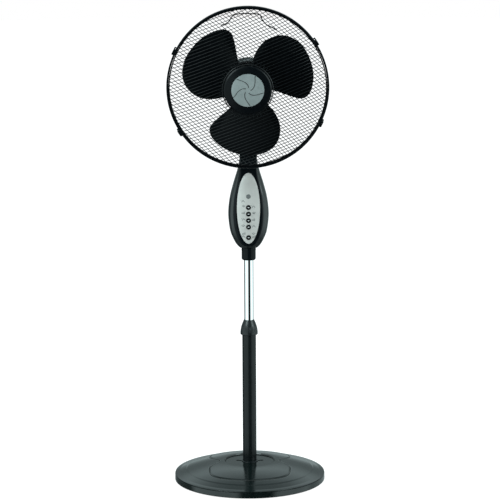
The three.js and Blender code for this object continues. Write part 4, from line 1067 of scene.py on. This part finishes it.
def badge():
    plate = lathe([(0, -171.8), (63.8, -171.8, 0.3), (63.8, -174.0, 1.6), (60, -176.4, 4), (45.6, -179.4, 0.6),
                   (43.9, -179.4, 0.3), (43.9, -178.4, 0.2), (0, -178.4)], "y")
    build("badge_plate_fine", [(in_head(plate), RING_BLACK)], "head", ["badge_plate"])
    inlay = lathe([(0, -180.4), (26, -180.1, 8), (43.2, -179.3, 0.4), (43.2, -178.6), (0, -178.6)], "y")
    swirls = []
    for k in range(5):
        path = []
        for i in range(25):
            radius = lerp(7, 42.4, i / 24)
            angle = math.radians(72 * k + 62 * (1 - (1 - i / 24) ** 1.6))
            y = -180.4 + 1.1 * (radius / 43.2) ** 2
            path.append((radius * math.cos(angle), y, radius * math.sin(angle)))
        swirls.append(sweep(path, 0.8, 8))
    parts = [(in_head(inlay), BADGE_SILVER)] + [(in_head(s), BADGE_SWIRL_AND_PAINTED_GROOVE_SHADE) for s in swirls]
    build("badge_inlay_fine", parts, "head", ["badge_inlay"])


# ---------------------------------------------------------------- stage, light and camera
def studio_floor():
    mesh = bpy.data.meshes.new("studio_floor")
    count, radius = 96, 14.0
    mesh.from_pydata([(radius * math.cos(2 * math.pi * k / count), radius * math.sin(2 * math.pi * k / count), 0)
                      for k in range(count)], [], [tuple(range(count))])
    paper = surface("floor_paper", (0.20, 0.20, 0.20), (0.22, 0.22, 0.22), (0.85, 0.95), bump=0.02,
                    worn=(0.22, 0.22, 0.22), specular=0.0)
    shader = next(n for n in paper.node_tree.nodes if n.type == "BSDF_PRINCIPLED")
    shader.inputs["Emission Color"].default_value = (1, 1, 1, 1)
    shader.inputs["Emission Strength"].default_value = FLOOR_GLOW
    mesh.materials.append(paper)
    floor = bpy.data.objects.new("studio_floor", mesh)
    floor.visible_glossy = False
    bpy.context.scene.collection.objects.link(floor)


def soft_light(name, place, aim, size, power, mirrored=True):
    lamp = bpy.data.lights.new(name, "AREA")
    lamp.shape = "RECTANGLE"
    lamp.size, lamp.size_y = size
    lamp.energy = power
    lamp.color = STUDIO_TINT
    light = bpy.data.objects.new(name, lamp)
    light.location = place
    light.rotation_euler = (Vector(aim) - Vector(place)).to_track_quat("-Z", "Y").to_euler()
    light.visible_camera = False
    light.visible_glossy = mirrored
    bpy.context.scene.collection.objects.link(light)


# Brightness of what upright surfaces mirror, by heading in degrees: 0 is in front, 90 to the right.
WALLS = ((-180, 0.30), (-150, 0.1), (-103, 0.1), (-90, 1.0), (-21, 1.0), (-11, 0.01), (33, 0.01), (43, 1.0),
         (96, 1.0), (110, 0.47), (145, 0.38), (180, 0.30))
# Brightness of what upward surfaces mirror, by the sine of its height over the horizon.
CEILING = ((0.0, 0.64), (0.1, 0.34), (0.2, 0.22), (0.33, 0.3), (0.5, 0.76), (0.62, 0.68), (0.75, 0.44), (1.0, 0.3))


def studio_world():
    """White to the camera; in reflections a ring of light and dark walls under a dimmer ceiling."""
    world = bpy.data.worlds.new("studio")
    bpy.context.scene.world = world
    world.use_nodes = True
    tree = world.node_tree
    tree.nodes.clear()

    def add(kind, inputs=None, **settings):
        node = tree.nodes.new(kind)
        for key, value in settings.items():
            setattr(node, key, value)
        for key, value in (inputs or {}).items():
            node.inputs[key].default_value = value
        return node

    def link(source, target):
        tree.links.new(source, target)

    def levels(stops):
        ramp = add("ShaderNodeValToRGB")
        for position, level in stops[1:-1]:
            ramp.color_ramp.elements.new(position)
        for element, (position, level) in zip(ramp.color_ramp.elements, stops):
            element.position = position
            element.color = (*(level * c for c in STUDIO_TINT), 1)
        return ramp

    place = add("ShaderNodeTexCoord")
    parts = add("ShaderNodeSeparateXYZ")
    link(place.outputs["Generated"], parts.inputs["Vector"])
    forward = add("ShaderNodeMath", {1: -1.0}, operation="MULTIPLY")
    link(parts.outputs["Y"], forward.inputs[0])
    heading = add("ShaderNodeMath", operation="ARCTAN2")
    link(parts.outputs["X"], heading.inputs[0])
    link(forward.outputs["Value"], heading.inputs[1])
    round_about = add("ShaderNodeMapRange", {"From Min": -math.pi, "From Max": math.pi})
    link(heading.outputs["Value"], round_about.inputs["Value"])
    walls = levels([((degrees + 180) / 360, level) for degrees, level in WALLS])
    link(round_about.outputs["Result"], walls.inputs["Fac"])
    fade = add("ShaderNodeMapRange", {"From Min": -0.65, "From Max": -0.3, "To Min": 0.15, "To Max": 1.0})
    link(parts.outputs["Z"], fade.inputs["Value"])
    dimmed = add("ShaderNodeVectorMath", operation="SCALE")
    link(walls.outputs["Color"], dimmed.inputs[0])
    link(fade.outputs["Result"], dimmed.inputs["Scale"])
    ceiling = levels(CEILING)
    link(parts.outputs["Z"], ceiling.inputs["Fac"])
    overhead = add("ShaderNodeMapRange", {"From Min": -0.03, "From Max": 0.06})
    link(parts.outputs["Z"], overhead.inputs["Value"])
    behind = add("ShaderNodeMapRange", {"From Min": -0.3, "From Max": 0.5})
    link(parts.outputs["Y"], behind.inputs["Value"])
    share = add("ShaderNodeMath", operation="MULTIPLY")
    link(overhead.outputs["Result"], share.inputs[0])
    link(behind.outputs["Result"], share.inputs[1])
    both = add("ShaderNodeMix", data_type="RGBA")
    link(share.outputs["Value"], both.inputs[0])
    link(dimmed.outputs["Vector"], both.inputs[6])
    link(ceiling.outputs["Color"], both.inputs[7])
    room = add("ShaderNodeBackground", {"Strength": 1.35})
    link(both.outputs[2], room.inputs["Color"])
    white = add("ShaderNodeBackground", {"Color": (1, 1, 1, 1), "Strength": 1.0})
    rays = add("ShaderNodeLightPath")
    mix = add("ShaderNodeMixShader")
    link(rays.outputs["Is Camera Ray"], mix.inputs[0])
    link(room.outputs["Background"], mix.inputs[1])
    link(white.outputs["Background"], mix.inputs[2])
    out = add("ShaderNodeOutputWorld")
    link(mix.outputs["Shader"], out.inputs["Surface"])


def camera():
    lens = bpy.data.cameras.new("camera")
    lens.sensor_width = 36
    lens.lens = 174.37
    lens.clip_end = 60
    eye = bpy.data.objects.new("camera", lens)
    pitch, roll = math.radians(10.68), math.radians(0.29)
    turn = Matrix.Rotation(math.pi / 2 - pitch, 4, "X") @ Matrix.Rotation(-roll, 4, "Z")
    eye.matrix_world = Matrix.Translation((0.0036, -6.5, 1.872)) @ turn
    bpy.context.scene.collection.objects.link(eye)
    bpy.context.scene.camera = eye


# ---------------------------------------------------------------- assembly
base_cover()
base_groove_shade_lines()
base_underside()
poles()
lock_nut()
column_socket()
rear_shell()
front_bezel()
control_panel()
for use, z in BUTTON_HEIGHTS.items():
    button(use, z)
receiver()
box_fittings()
tilt_joint()
tilt_knob()
swing_parts()
motor_mount()
motor_vents(motor_cover())
motor_bits()
rotor()
grilles()
rear_nut()
ring_and_clips()
badge()
studio_floor()
soft_light("key", (-2.6, -2.4, 3.2), (0, 0, 0.8), (1.6, 2.2), 90)
soft_light("fill", (3.0, -1.6, 2.2), (0, 0, 0.7), (1.4, 2.4), 50)
soft_light("top", (0, 0.6, 3.6), (0, 0, 0), (2.5, 2.5), 70, mirrored=False)
studio_world()
camera()
bpy.context.scene.view_settings.view_transform = "Standard"
